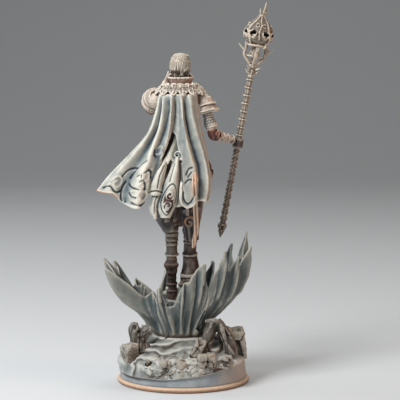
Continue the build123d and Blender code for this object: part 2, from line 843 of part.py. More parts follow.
# Rows of the cape's outer face from under the mantle to the hem: (x, y, rise) at its left edge,
# quarter points and right edge. The left side blows out, the right side hangs.
cape_table = [
    [(-8.8, -3.4, 78.4), (-6.0, -5.8, 78.4), (-2.0, -7.0, 78.4), (2.0, -6.4, 78.4), (5.4, -4.4, 78.4)],
    [(-10.0, -4.6, 72.0), (-6.2, -7.2, 72.0), (-2.0, -8.2, 71.8), (2.4, -7.6, 71.8), (6.2, -5.4, 71.6)],
    [(-13.2, -7.0, 64.0), (-8.2, -9.2, 63.6), (-2.6, -9.6, 63.4), (3.2, -8.8, 63.4), (7.8, -6.2, 63.2)],
    [(-19.8, -10.0, 56.4), (-12.6, -11.8, 55.2), (-4.6, -11.6, 54.8), (4.0, -10.2, 54.8), (9.8, -7.2, 54.4)],
    [(-27.4, -13.0, 48.8), (-18.0, -14.8, 46.4), (-6.6, -14.0, 45.8), (4.6, -11.8, 46.0), (11.2, -8.0, 45.4)],
    [(-32.0, -15.0, 43.0), (-20.4, -17.0, 37.2), (-8.8, -15.8, 35.8), (3.6, -13.0, 36.0), (9.8, -9.0, 37.6)],
]
cape_folds = 6
fold_depth = 0.55
# Hems: (share of the width, share of the way down), joined by straight runs
cape_hem = [(0, 1), (0.34, 1), (0.385, 0.62), (0.42, 0.38), (0.65, 0.62), (0.74, 0.97), (1, 0.98)]
under_hem = [(0, 0.66), (0.4, 0.72), (0.5, 0.66), (0.62, 0.74), (1, 0.68)]
tail_hem = [(0, 0.9), (0.3, 1.0), (0.55, 0.96), (0.8, 1.02), (1, 0.92)]


def along(line, share):
    """Reads a hem at a share of the width."""
    for (u0, v0), (u1, v1) in zip(line, line[1:]):
        if share <= u1:
            return v0 + (v1 - v0) * (share - u0) / (u1 - u0)
    return line[-1][1]


def cape_point(u, v):
    """The cape's outer face before its folds."""
    columns = [blend([row[j] for row in cape_table], v) for j in range(len(cape_table[0]))]
    x, y, rise = blend(columns, u)
    return at(x, y, rise)


def cape_layer(u, v, inset):
    """A point of a folded layer that lies inset behind the cape's outer face."""
    step = 0.01
    down = cape_point(u, v + step) - cape_point(u, v - step)
    across = cape_point(u + step, v) - cape_point(u - step, v)
    outward = down.cross(across).normalized()
    fold = fold_depth * (0.3 + 0.7 * v) * cos(2 * pi * cape_folds * u)
    return cape_point(u, v) + outward * (fold - inset)


def cape_sheet(left, right, top, hem, wall, inset, columns, rows=10):
    """Part of the cape between two shares of its width, from top down to its hem line."""
    grid = []
    for i in range(rows):
        row = []
        for j in range(columns):
            share = j / (columns - 1)
            v = top + (along(hem, share) - top) * i / (rows - 1)
            row.append(cape_layer(left + (right - left) * share, v, inset))
        grid.append(row)
    return thick_sheet(grid, wall)


under_inset = cloth_wall + layer_gap
tail_inset = under_inset + cloth_wall + 1.6 * layer_gap
ribbon_inset = tail_inset + cloth_wall + layer_gap
pieces["cape"] = cape_sheet(0, 1, 0, cape_hem, cloth_wall, 0, 4 * cape_folds + 1)
pieces["cape_under"] = cape_sheet(0.31, 0.70, 0.26, under_hem, cloth_wall, under_inset, 13)
tail_spans = [(0.40, 0.50), (0.53, 0.63), (0.66, 0.76)]
tails = [cape_sheet(left, right, 0.61, tail_hem, cloth_wall, tail_inset, 5) for left, right in tail_spans]
pieces["cape_tails"] = Compound(tails)


def strip(points, wide, wall, way):
    """A hanging band: a sheet of the given widths along a line of points, laid out along way."""
    grid = []
    count = 5
    for point, width in zip(points, wide):
        row = []
        for j in range(count):
            share = 2 * j / (count - 1) - 1
            row.append(point + way * share * width / 2 + Vector(0, -0.12 * width * (1 - share**2), 0))
        grid.append(row)
    return thick_sheet(grid, wall)


def make_ribbon():
    """A long ribbon, glued behind the right-hand tail, that hangs free below the hem."""
    shares = [0.685 + 0.022 * j for j in range(5)]
    grid = [[cape_layer(u, v, ribbon_inset) for u in shares] for v in (0.78, 0.86, 0.94)]
    last = grid[-1]
    middle = last[2]
    falls = [(Vector(0.6, 0.9, -4.0), 0.95), (Vector(1.2, 1.7, -9.0), 0.8), (Vector(1.5, 2.2, -14.0), 0.6)]
    falls.append((Vector(1.7, 2.4, -17.2), 0.15))
    for fall, narrowed in falls:
        grid.append([middle + fall + (point - middle) * narrowed for point in last])
    return thick_sheet(grid, cloth_wall)


pieces["cape_ribbon"] = make_ribbon()


def coat_panel(start, stop, rows, count=9):
    """A skirt panel of the coat round the legs. rows are (centre across, centre along, half width, half depth, rise)."""
    grid = [
        ring_row((body_x + across, along_y), wide, deep, rise, start, stop, count)
        for across, along_y, wide, deep, rise in rows
    ]
    return thick_sheet(grid, cloth_wall)


coat_top = belt_rise - 0.4
pieces["coat_left"] = coat_panel(
    120, 250, [(0, 0, 7.0, 5.1, coat_top), (-0.2, 0.3, 7.9, 6.2, 48), (-1.0, 0.8, 8.8, 6.9, 40), (-1.2, 1.2, 8.9, 6.4, 33)]
)
pieces["coat_right"] = coat_panel(
    290, 420, [(0, 0, 7.0, 5.1, coat_top), (0.2, 0.3, 8.0, 6.2, 48), (0.9, 1.0, 8.6, 7.1, 40), (1.0, 1.4, 8.6, 7.0, 31)]
)
tabard_line = [at(*point) for point in ((-1.0, 5.4, coat_top), (-1.0, 7.4, 46), (-1.2, 8.6, 36), (-1.4, 9.4, 27))]
pieces["tabard_front"] = strip(tabard_line, (4.6, 5.0, 5.2, 4.4), cloth_wall, Vector(-1, 0, 0))
pieces["buckle"] = Pos(*at(body_x, belt_depth + 2 * glue_gap + plate_wall / 2, (belt_rise + waist_rise) / 2)) * Box(3.0, plate_wall, 2.2)
clasp_face = Plane(at(body_x, clasp_forward, 79.4), x_dir=(1, 0, 0), z_dir=(0, 1, 0))
pieces["clasp"] = extrude(clasp_face * Ellipse(3.4, 1.5), plate_wall)
sash_line = [at(*point) for point in ((5.1, -0.8, 56.9), (7.9, -1.9, 55.8), (10.0, -2.5, 52.0), (11.3, -2.8, 47.4))]
pieces["sash_end"] = strip(sash_line, (2.0, 2.6, 2.8, 1.0), cloth_wall, Vector(0.3, 0.95, 0).normalized())

# ---------------------------------------------------------------- seat the rocks in the ground and trim what meets

plinth = pieces["plinth"]
seated = None
for name, stone in rocks.items():
    stone = stone - plinth
    if seated is not None:
        stone = stone - seated
    pieces[name] = stone
    seated = stone if seated is None else seated + stone
    ground = ground - rocks[name]
loose = [stone - plinth - seated for stone in rubble]
back = [stone - plinth for stone in rocks_back]
for stone in [*loose, *back]:
    ground = ground - stone
pieces["ground"] = ground
pieces["rubble"] = Compound([stone.solids()[0] for stone in loose])
pieces["rocks_back"] = Compound([stone.solids()[0] for stone in back])
pieces.update(crown)

os.makedirs("parts", exist_ok=True)
for name, shape in pieces.items():
    solids = shape.solids()
    export_step(solids[0] if len(solids) == 1 else Compound(list(solids)), f"parts/{name}.step")
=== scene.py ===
"""A painted resin miniature: a caped mage with a tall staff, stepping out of a splash on a rocky round plinth."""

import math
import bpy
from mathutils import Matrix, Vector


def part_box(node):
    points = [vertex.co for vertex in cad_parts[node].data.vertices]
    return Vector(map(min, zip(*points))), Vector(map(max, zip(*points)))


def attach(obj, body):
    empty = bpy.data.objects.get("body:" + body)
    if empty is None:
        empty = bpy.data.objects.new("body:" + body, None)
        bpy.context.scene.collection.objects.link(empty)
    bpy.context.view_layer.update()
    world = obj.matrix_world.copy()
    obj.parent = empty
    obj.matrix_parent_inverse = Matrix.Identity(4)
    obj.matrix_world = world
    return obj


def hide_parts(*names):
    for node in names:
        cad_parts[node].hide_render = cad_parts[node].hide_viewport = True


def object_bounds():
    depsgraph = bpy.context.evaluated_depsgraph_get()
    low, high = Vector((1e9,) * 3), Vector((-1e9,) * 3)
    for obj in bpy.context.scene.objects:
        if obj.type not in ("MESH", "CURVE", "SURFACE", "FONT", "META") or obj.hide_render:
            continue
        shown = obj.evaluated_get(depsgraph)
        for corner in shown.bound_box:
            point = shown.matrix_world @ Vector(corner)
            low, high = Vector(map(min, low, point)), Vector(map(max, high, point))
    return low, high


bl_info = {
    "name": "Painted mage miniature",
    "version": (1, 0, 0),
    "blender": (4, 5, 0),
    "location": "3D View > Sidebar > Miniature",
    "description": "Builds the sculpted and painted pieces of a mage figure on a splash base",
    "category": "Object",
}

from itertools import product

import bpy
import numpy as np
from bpy.props import FloatProperty, FloatVectorProperty, PointerProperty
from mathutils import Vector

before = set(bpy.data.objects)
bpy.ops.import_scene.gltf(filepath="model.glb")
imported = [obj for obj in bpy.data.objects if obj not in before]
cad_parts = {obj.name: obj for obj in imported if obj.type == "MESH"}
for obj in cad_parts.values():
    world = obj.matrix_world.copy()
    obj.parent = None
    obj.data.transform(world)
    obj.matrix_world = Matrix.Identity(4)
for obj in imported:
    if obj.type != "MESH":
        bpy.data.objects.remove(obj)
CAD_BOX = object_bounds()
MM = 1000.0  # millimetres in a metre
UP = np.array((0.0, 0.0, 1.0))
BACK = np.array((0.0, -1.0, 0.0))  # the way the cape faces
RIGHT = np.array((1.0, 0.0, 0.0))


# ---------------------------------------------------------------- places on the frame, in millimetres


def corners(node):
    """The low and high corners of a node's box."""
    low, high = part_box(node)
    return np.array(low) * MM, np.array(high) * MM


def spot(node, x, y, z):
    """A point in a node's box, by its shares from the low corner to the high one."""
    low, high = corners(node)
    return low + (high - low) * np.array((x, y, z))


def spots(node, *shares):
    return [spot(node, *share) for share in shares]


def unit(vectors):
    vectors = np.asarray(vectors, float)
    return vectors / np.maximum(np.linalg.norm(vectors, axis=-1, keepdims=True), 1e-9)


def flow(points, count):
    """A smooth run of count points through the given ones, along the first axis."""
    points = np.asarray(points, float)
    steps = np.linspace(0, len(points) - 1, count)
    at = np.minimum(steps.astype(int), len(points) - 2)
    f = (steps - at).reshape((-1,) + (1,) * (points.ndim - 1))
    ends = np.concatenate([2 * points[:1] - points[1:2], points, 2 * points[-1:] - points[-2:-1]])
    a, b, c, d = ends[at], ends[at + 1], ends[at + 2], ends[at + 3]
    return 0.5 * (2 * b + (c - a) * f + (2 * a - 5 * b + 4 * c - d) * f**2 + (3 * b - a - 3 * c + d) * f**3)


def rise(x, low, high):
    """0 below low and 1 above high, with a smooth climb between."""
    t = np.clip((np.asarray(x, float) - low) / (high - low), 0, 1)
    return t * t * (3 - 2 * t)


def bump(x, centre, width):
    """1 at the centre, falling off smoothly over width."""
    return np.exp(-(((np.asarray(x, float) - centre) / width) ** 2))


# ---------------------------------------------------------------- repeatable grain


def chance(cells, seed):
    """A number from 0 to 1 for each whole-number cell, the same on every run."""
    c = cells.astype(np.uint64)
    h = c[..., 0] * np.uint64(73856093) ^ c[..., 1] * np.uint64(19349663) ^ c[..., 2] * np.uint64(83492791)
    h = (h ^ np.uint64(seed * 2654435761 + 97)) * np.uint64(6364136223846793005)
    h ^= h >> np.uint64(33)
    h = h * np.uint64(0xFF51AFD7ED558CCD)
    return ((h >> np.uint64(40)) & np.uint64(0xFFFF)).astype(float) / 65535.0


def mottle(points, size, seed=0):
    """Soft lumps from -1 to 1, about size across."""
    p = points / size + 1000.0
    base = np.floor(p).astype(np.int64)
    f = p - base
    f = f * f * (3 - 2 * f)
    total = np.zeros(len(points))
    for corner in product((0, 1), repeat=3):
        weight = np.prod(np.where(np.array(corner, bool), f, 1 - f), axis=1)
        total += weight * chance(base + np.array(corner), seed)
    return total * 2 - 1


def chips(points, size, seed=0):
    """(distance from the nearest crack, a number for the chip), for broken stone."""
    p = points / size + 1000.0
    base = np.floor(p).astype(np.int64)
    near = np.full((len(points), 2), 9.0)
    who = np.zeros(len(points))
    for corner in product((-1, 0, 1), repeat=3):
        cell = base + np.array(corner)
        jitter = np.stack([chance(cell, seed + k) for k in range(3)], axis=1)
        d = np.linalg.norm(cell + jitter - p, axis=1)
        first = d < near[:, 0]
        near[:, 1] = np.where(first, near[:, 0], np.minimum(near[:, 1], d))
        who = np.where(first, chance(cell, seed + 7), who)
        near[:, 0] = np.where(first, d, near[:, 0])
    return (near[:, 1] - near[:, 0]) * size, who * 2 - 1


# ---------------------------------------------------------------- sculpting

HOLLOW_DEPTH = 0.085  # millimetres below the ground round it at which a fine hollow is fully washed dark, with painted shade
SWELL_HEIGHT = 0.5  # millimetres above the ground round it at which a broad swell takes the full painted highlight
MOST_ROUNDS = 90  # of smoothing, when a piece's fine cells would ask for more


def distance(points, path):
    """How far each point is from a line through the path's points."""
    path = np.asarray(path, float)
    best = np.full(len(points), 1e9)
    for a, b in zip(path[:-1], path[1:]):
        along = b - a
        share = np.clip((points - a) @ along / max(along @ along, 1e-9), 0, 1)
        best = np.minimum(best, np.linalg.norm(points - a - share[:, None] * along, axis=1))
    return best


def cord_mark(points, path, width, reach=3.0):
    """1 on the path, falling off smoothly over width."""
    path = np.asarray(path, float)
    low, high = path.min(0) - reach * width, path.max(0) + reach * width
    inside = np.all((points > low) & (points < high), axis=1)
    mark = np.zeros(len(points))
    if inside.any():
        mark[inside] = np.exp(-((distance(points[inside], path) / width) ** 2))
    return mark


def soften(points, edges, rounds, hold=0.5):
    """Moves each point towards the middle of its neighbours, again and again."""
    a, b = edges[:, 0], edges[:, 1]
    n = len(points)
    count = np.maximum(np.bincount(a, minlength=n) + np.bincount(b, minlength=n), 1)[:, None]
    for _ in range(rounds):
        total = np.stack(
            [np.bincount(a, points[b, k], n) + np.bincount(b, points[a, k], n) for k in range(3)], axis=1
        )
        points = points + (total / count - points) * hold
    return points


def curl(centre, across, up, size, turns=1.25, start=0.0, count=22, grow=1.0):
    """A flat scroll that winds in to its centre."""
    across, up = unit(across), unit(up)
    t = np.linspace(0, 1, count)
    angle = start + turns * 2 * math.pi * t
    radius = size * (1 - 0.86 * t**grow)
    return centre + radius[:, None] * (np.cos(angle)[:, None] * across + np.sin(angle)[:, None] * up)


def grid_normals(grid, out):
    """(the unit normals of a grid of points, whether they point the way of out)."""
    normal = np.cross(np.gradient(grid, axis=1), np.gradient(grid, axis=0))
    return unit(normal), (normal * out).sum(-1).mean() > 0


class Clay:
    """Closed shapes in millimetres, pressed together into one sculpted piece."""

    def __init__(self):
        self.points, self.faces, self.count = [], [], 0

    def add(self, points, faces):
        points = np.asarray(points, float).reshape(-1, 3)
        self.faces += [tuple(int(i) + self.count for i in f) for f in faces]
        self.points.append(points)
        self.count += len(points)
        return self

    def node(self, *names):
        """A copy of the shape of CAD nodes."""
        for name in names:
            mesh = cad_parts[name].data
            self.add(places_of(mesh) * MM, [p.vertices[:] for p in mesh.polygons])
        return self

    def loft(self, rings):
        """A closed skin over rings of points, all with the same number."""
        rings = np.asarray(rings, float)
        rows, sides = rings.shape[:2]
        at = np.arange(rows * sides).reshape(rows, sides)
        a, b = at[:-1], at[1:]
        quads = np.stack([a, np.roll(a, -1, 1), np.roll(b, -1, 1), b], axis=-1).reshape(-1, 4)
        caps = [at[0][::-1], at[-1]]
        return self.add(rings, [*quads.tolist(), *[c.tolist() for c in caps]])

    def tube(self, path, radii, sides=10, out=None, flat=1.0):
        """A round or flattened rod along a path; flat is its thickness along out, as a share of its width."""
        path = np.asarray(path, float)
        radii = np.broadcast_to(np.asarray(radii, float), (len(path),))
        tangent = unit(np.gradient(path, axis=0))
        if out is None:
            out = UP if abs(tangent[:, 2]).mean() < 0.8 else RIGHT
        side = unit(np.cross(tangent, np.broadcast_to(out, tangent.shape)))
        lift = np.cross(side, tangent)
        angle = np.linspace(0, 2 * math.pi, sides, endpoint=False)
        ring = (
            np.cos(angle)[None, :, None] * side[:, None] + flat * np.sin(angle)[None, :, None] * lift[:, None]
        )
        return self.loft(path[:, None] + radii[:, None, None] * ring)

    def ball(self, centre, size, axes=None, sides=16):
        """An egg with half sizes along three axes."""
        axes = np.eye(3) if axes is None else np.asarray(axes, float)
        size = np.broadcast_to(np.asarray(size, float), (3,))
        lift = np.linspace(-1, 1, sides // 2 + 2) * math.pi / 2
        lift[0] += 0.05
        lift[-1] -= 0.05
        turn = np.linspace(0, 2 * math.pi, sides, endpoint=False)
        rings = np.stack(
            [
                np.cos(lift)[:, None] * np.cos(turn),
                np.cos(lift)[:, None] * np.sin(turn),
                np.sin(lift)[:, None] + 0 * turn,
            ],
            axis=-1,
        )
        return self.loft(centre + (rings * size) @ axes)

    def rope(self, knots, count, ends, sides=8, out=None, flat=1.0):
        """A rod along a smooth run of count points, its radius going evenly from one end to the other."""
        return self.tube(flow(knots, count), np.linspace(*ends, count), sides, out, flat)

    def scroll(self, centre, across, up, size, turns, start, ends, sides=7, out=None):
        """A rod wound into a flat scroll, its radius going evenly from the outside to the middle."""
        path = curl(centre, across, up, size, turns, start)
        return self.tube(path, np.linspace(*ends, len(path)), sides, out)

    def sheet(self, grid, wall, out):
        """A skin of the given thickness behind a grid of points, whose front faces the way of out."""
        grid = np.asarray(grid, float)
        rows, cols = grid.shape[:2]
        normal, faces_out = grid_normals(grid, out)
        if not faces_out:
            wall = -wall
        inner = grid - normal * np.broadcast_to(np.asarray(wall, float), (rows, cols))[..., None]
        at = np.arange(rows * cols).reshape(rows, cols)
        a, b, c, d = at[:-1, :-1], at[:-1, 1:], at[1:, 1:], at[1:, :-1]
        front = np.stack([a, d, c, b], axis=-1).reshape(-1, 4)
        shift = rows * cols
        back = front[:, ::-1] + shift
        rim = np.concatenate([at[0], at[1:, -1], at[-1, ::-1][1:], at[::-1, 0][1:-1]])
        turn = np.roll(rim, -1)
        side = np.stack([rim, turn, turn + shift, rim + shift], axis=-1)
        return self.add(
            np.concatenate([grid.reshape(-1, 3), inner.reshape(-1, 3)]),
            np.concatenate([front, back, side]).tolist(),
        )

    def cast(self, name, paint, nodes, voxel=0.25, ease=2, carve=None, fine=0.42, broad=1.7, mark=None):
        """Presses the shapes into one piece, sculpts it, and sets it on the frame in place of its nodes.

        carve gives each point's lift along its normal, or the points' new places. fine and broad are the reach
        in millimetres of the hollows and swells that the paint follows, and mark is 1 where its trim colour goes.
        """
        mesh = bpy.data.meshes.new(name)
        mesh.from_pydata(np.concatenate(self.points).tolist(), [], self.faces)
        mesh.update()
        if voxel:
            mesh = pressed(mesh, voxel)
        edges = np.zeros(len(mesh.edges) * 2, np.int64)
        mesh.edges.foreach_get("vertices", edges)
        edges = edges.reshape(-1, 2)
        points = places_of(mesh)
        spacing = max(np.linalg.norm(points[edges[:, 0]] - points[edges[:, 1]], axis=1).mean(), 0.05)
        points = soften(points, edges, ease)
        put(mesh, points)
        if carve:
            carved = carve(points, normals_of(mesh))
            points = points + normals_of(mesh) * carved[:, None] if carved.ndim == 1 else carved
            put(mesh, points)
        normals = normals_of(mesh)
        for label, radius, depth in (("hollow", fine, -HOLLOW_DEPTH), ("swell", broad, SWELL_HEIGHT)):
            rounds = int(np.clip((radius / spacing) ** 2 * 2, 2, MOST_ROUNDS))
            raised = np.einsum("ij,ij->i", points - soften(points, edges, rounds), normals)
            store(mesh, label, np.clip(raised / depth, -1, 1))
        store(mesh, "trim", np.clip(mark(points), 0, 1) if mark else np.zeros(len(points)))
        put(mesh, points / MM)
        mesh.polygons.foreach_set("use_smooth", np.ones(len(mesh.polygons), bool))
        mesh.materials.append(PAINTS[paint])
        piece = put_in_scene(name, mesh)
        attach(piece, "root")
        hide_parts(*nodes)
        return piece


def put_in_scene(name, data):
    thing = bpy.data.objects.new(name, data)
    bpy.context.scene.collection.objects.link(thing)
    return thing


def places_of(mesh):
    places = np.zeros(len(mesh.vertices) * 3, np.float32)
    mesh.vertices.foreach_get("co", places)
    return places.reshape(-1, 3).astype(float)


def normals_of(mesh):
    normals = np.zeros(len(mesh.vertices) * 3, np.float32)
    mesh.vertex_normals.foreach_get("vector", normals)
    return normals.reshape(-1, 3).astype(float)


def put(mesh, points):
    mesh.vertices.foreach_set("co", points.astype(np.float32).ravel())
    mesh.update()


def store(mesh, label, values):
    mesh.attributes.new(label, "FLOAT", "POINT").data.foreach_set("value", values.astype(np.float32))


def pressed(mesh, voxel):
    """One skin round all the closed shapes of a mesh."""
    block = put_in_scene("block", mesh)
    press = block.modifiers.new("press", "REMESH")
    press.mode = "VOXEL"
    press.voxel_size = voxel
    graph = bpy.context.evaluated_depsgraph_get()
    joined = bpy.data.meshes.new_from_object(block.evaluated_get(graph))
    bpy.data.objects.remove(block)
    bpy.data.meshes.remove(mesh)
    if len(joined.polygons) < 10:
        raise RuntimeError("a sculpted piece came out empty")
    return joined


# ---------------------------------------------------------------- paint


class Wire:
    """A shader socket; sums made with it add Math nodes."""

    def __init__(self, board, socket):
        self.board, self.socket = board, socket

    def maths(self, operation, first, second):
        return self.board.add("ShaderNodeMath", {"operation": operation}, {0: first, 1: second})

    def __add__(self, other):
        return self.maths("ADD", self, other)

    def __radd__(self, other):
        return self.maths("ADD", other, self)

    def __sub__(self, other):
        return self.maths("SUBTRACT", self, other)

    def __rsub__(self, other):
        return self.maths("SUBTRACT", other, self)

    def __mul__(self, other):
        return self.maths("MULTIPLY", self, other)

    def __rmul__(self, other):
        return self.maths("MULTIPLY", other, self)


class Board:
    """The nodes of one paint."""

    def __init__(self, name):
        self.paint = bpy.data.materials.new(name)
        self.paint.use_nodes = True
        self.tree = self.paint.node_tree
        self.tree.nodes.clear()

    def add(self, kind, settings=(), sockets=(), out=0):
        node = self.tree.nodes.new(kind)
        for key, value in dict(settings).items():
            setattr(node, key, value)
        for key, value in dict(sockets).items():
            if isinstance(value, Wire):
                self.tree.links.new(value.socket, node.inputs[key])
            else:
                node.inputs[key].default_value = value
        return Wire(self, node.outputs[out]) if len(node.outputs) else None

    def mix(self, first, second, share, blend="MIX"):
        kind = {"data_type": "RGBA", "blend_type": blend}
        return self.add("ShaderNodeMix", kind, {0: share, 6: first, 7: second}, out=2)

    def climb(self, wire, low, high):
        settings = {"interpolation_type": "SMOOTHSTEP"}
        return self.add("ShaderNodeMapRange", settings, {"Value": wire, "From Min": low, "From Max": high})

    def reading(self, label):
        return self.add("ShaderNodeAttribute", {"attribute_name": label}, out="Fac")

    def grain(self, size, detail=2.0):
        """Noise with lumps of that size in millimetres."""
        place = self.add("ShaderNodeTexCoord", out="Object")
        return self.add("ShaderNodeTexNoise", {}, {"Vector": place, "Scale": MM / size, "Detail": detail})


def ink(red, green, blue):
    """A paint colour from its everyday 0 to 255 numbers."""
    return tuple(((c / 255 + 0.055) / 1.055) ** 2.4 if c > 10 else c / 3294 for c in (red, green, blue)) + (1.0,)


def finish(board, sockets):
    """Closes a paint with its shader; sockets holds the shader's own settings."""
    shader = board.add("ShaderNodeBsdfPrincipled", {}, sockets)
    board.add("ShaderNodeOutputMaterial", {}, {"Surface": shader})
    return board.paint


SHADE_SPAN, LIGHT_SPAN = (-0.7, 0.12), (0.0, 0.65)  # swells where the painted shade gives way to the body colour, and where the painted highlight comes in
SIDE_LIGHT_SPANS = {"cool": (-1, 0.15, 1.0, 0.32), "warm": (1, 0.15, 0.95, 0.5)}  # painted side light, cool on the left and warm on the right: way along x, span and strength
# where the painted edge highlights, the dark hollows with their painted shade, and the trim come in
EDGE_SPAN, WASH_SHADE_SPAN, TRIM_SPAN = (0.25, 0.95), (0.3, 1.0), (0.35, 0.75)


def coat(name, body, shade, light, edge, wash, trim, cool=None, warm=None, gloss=0.55, wear=1.0, sink=0.8):
    """Painted resin: a body colour with painted shade in the folds and painted highlights on the swells, washed dark
    with painted shade in the fine hollows, with painted highlights along the edges, and with painted cool light on
    the left and painted warm light on the right. gloss is its roughness, the edge highlight setting is how pale its
    edges are and sink is how dark its hollows are."""
    board = Board(name)
    hollow, swell = board.reading("hollow"), board.reading("swell")
    patch, speck = board.grain(5.0, 3.0), board.grain(0.7, 2.0)
    # painted shade in the folds, then painted highlights on the swells
    colour = board.mix(shade, body, board.climb(swell + (patch - 0.5) * 0.5, *SHADE_SPAN))
    colour = board.mix(colour, light, board.climb(swell + (speck - 0.5) * 0.3, *LIGHT_SPAN))
    turned = board.add("ShaderNodeNewGeometry", out="Normal")
    sideways = board.add("ShaderNodeSeparateXYZ", {}, {0: turned}, out="X")
    # painted cool light on the surfaces that face left, and painted warm light on those that face right
    for side_light, (way, low, high, share) in zip((cool, warm), SIDE_LIGHT_SPANS.values()):
        if side_light:
            facing = sideways if way > 0 else 0 - sideways
            colour = board.mix(colour, side_light, board.climb(facing, low, high) * share, "SOFT_LIGHT")
    # painted highlights along the edges
    highlit_share = board.climb((0 - hollow) + (speck - 0.5) * 0.5, *EDGE_SPAN) * (0.62 * wear)
    colour = board.mix(colour, edge, highlit_share)
    # the fine hollows washed dark, with painted shade
    sunk = board.climb(hollow + (patch - 0.5) * 0.35, *WASH_SHADE_SPAN) * sink
    colour = board.mix(colour, wash, sunk)
    colour = board.mix(colour, trim, board.climb(board.reading("trim") + (speck - 0.5) * 0.2, *TRIM_SPAN))
    tone = 0.86 + board.grain(1.6, 4.0) * 0.28
    grey = board.add("ShaderNodeCombineColor", {}, {0: tone, 1: tone, 2: tone})
    colour = board.mix(colour, grey, 1.0, "MULTIPLY")
    rough = gloss + (speck - 0.5) * 0.18 + sunk * 0.18 - highlit_share * 0.08
    skin = board.add("ShaderNodeBump", {}, {"Strength": 0.18, "Distance": 0.00008, "Height": board.grain(0.35, 3.0)})
    return finish(board, {"Base Color": colour, "Roughness": rough, "Normal": skin, "Specular IOR Level": 0.4})


# each finish: its slot, its paint's name, its tones (body, painted shade, painted highlight, painted edge highlight,
# dark of the hollows with painted shade, and trim) and its edge highlight strength and gloss
FINISHES = {
    "cape": (
        "cape_paint", "cape_cloth", "cape cape_shade cape_light cape_light wash copper", {"gloss": 0.5, "wear": 0.6},
    ),
    "lining": (
        "cape_paint", "cape_lining", "lining cape_shade cape_light cape_light wash wash", {"gloss": 0.58, "wear": 0.4},
    ),
    "tails": (
        "cape_paint", "cape_tails_cloth", "cape cape_shade cape_light cape_light wash lacquer",
        {"gloss": 0.5, "wear": 0.6},
    ),
    "ribbon": ("cape_paint", "ribbon_cloth", "ribbon ribbon copper bone wash copper", {"gloss": 0.5}),
    # the splash is painted darker on its right side, as painted shade, where the others take painted warm light
    "splash": (
        "splash_paint", "splash_water", "splash splash_shade splash_light bone splash_wash rock_shade",
        {"warm": "splash_wash", "gloss": 0.42, "wear": 0.38},
    ),
    "ground": (
        "ground_paint", "ground_flow", "ground rock_shade ground_light bone wash rock_shade",
        {"gloss": 0.5, "wear": 0.5, "sink": 0.6},
    ),
    "rock": (
        "rock_paint", "broken_rock", "rock rock_shade rock_light rock_light wash copper", {"gloss": 0.72, "wear": 0.7},
    ),
    "root": ("rock_paint", "root_wood", "root wash rock rock_light wash copper", {"gloss": 0.65}),
    "armour": (
        "armour_paint", "plate_metal", "armour armour_shade armour_light armour_light wash copper", {"gloss": 0.45},
    ),
    "mail": ("armour_paint", "mail_rings", "mail armour_shade armour_light armour_light wash copper", {"gloss": 0.5}),
    "dark_plate": ("armour_paint", "dark_plate_paint", "dark_plate wash armour bone wash copper", {"wear": 0.35}),
    "robe_plate": ("armour_paint", "robe_plate_paint", "leather wash robe_light bone wash copper", {"wear": 0.35}),
    "collar": ("armour_paint", "collar_paint", "collar armour_shade armour_light bone wash copper", {"wear": 0.9}),
    "scale": ("armour_paint", "scale_paint", "scale armour_shade armour_light bone wash wash", {"wear": 0.9}),
    "trim": ("armour_paint", "trim_paint", "copper armour_shade bone bone wash copper", {"wear": 0.9}),
    "guard": (
        "armour_paint", "red_lacquer", "lacquer wash lacquer_light copper wash copper",
        {"cool": None, "warm": None, "gloss": 0.4},
    ),
    "trouser": ("cloth_paint", "trouser_paint", "trouser wash robe bone wash copper", {"wear": 0.35}),
    "coat": ("cloth_paint", "coat_paint", "coat wash robe_light bone wash copper", {"wear": 0.35}),
    "sash": ("cloth_paint", "sash_paint", "lacquer armour_shade lacquer_light bone wash copper", {"wear": 0.9}),
    "cloth": ("cloth_paint", "robe_cloth", "robe armour_shade robe_light copper wash copper", {"gloss": 0.66}),
    "leather": ("leather_paint", "boot_leather", "leather wash leather_light leather_light wash copper", {}),
    "staff": ("staff_paint", "staff_wood", "staff staff_shade staff_light bone wash copper", {"gloss": 0.5}),
    "staff_dark": ("staff_paint", "staff_dark_paint", "staff_low armour_shade staff bone wash copper", {"wear": 0.9}),
    "staff_head": (
        "staff_paint", "staff_head_wood", "staff staff_shade staff_light bone wash wash", {"gloss": 0.5, "wear": 0.7},
    ),
    "hair": (
        "hair_paint", "hair_strands", "hair wash hair_light bone wash hair_low",
        {"cool": None, "warm": None, "gloss": 0.6},
    ),
    "skin": ("skin_paint", "skin_tone", "skin skin_shade skin_light skin_light wash copper", {}),
}
PAINTS = {}


def mix_paints(tones):
    """Every sculpted piece's paint."""
    for finish_name, (_, name, colours, extra) in FINISHES.items():
        settings = {"cool": "cool_glaze", "warm": "warm_glaze", **extra}
        for side_light in SIDE_LIGHT_SPANS:
            settings[side_light] = settings[side_light] and tuple(getattr(tones, settings[side_light]))
        PAINTS[finish_name] = coat(name, *[tuple(getattr(tones, c)) for c in colours.split()], **settings)


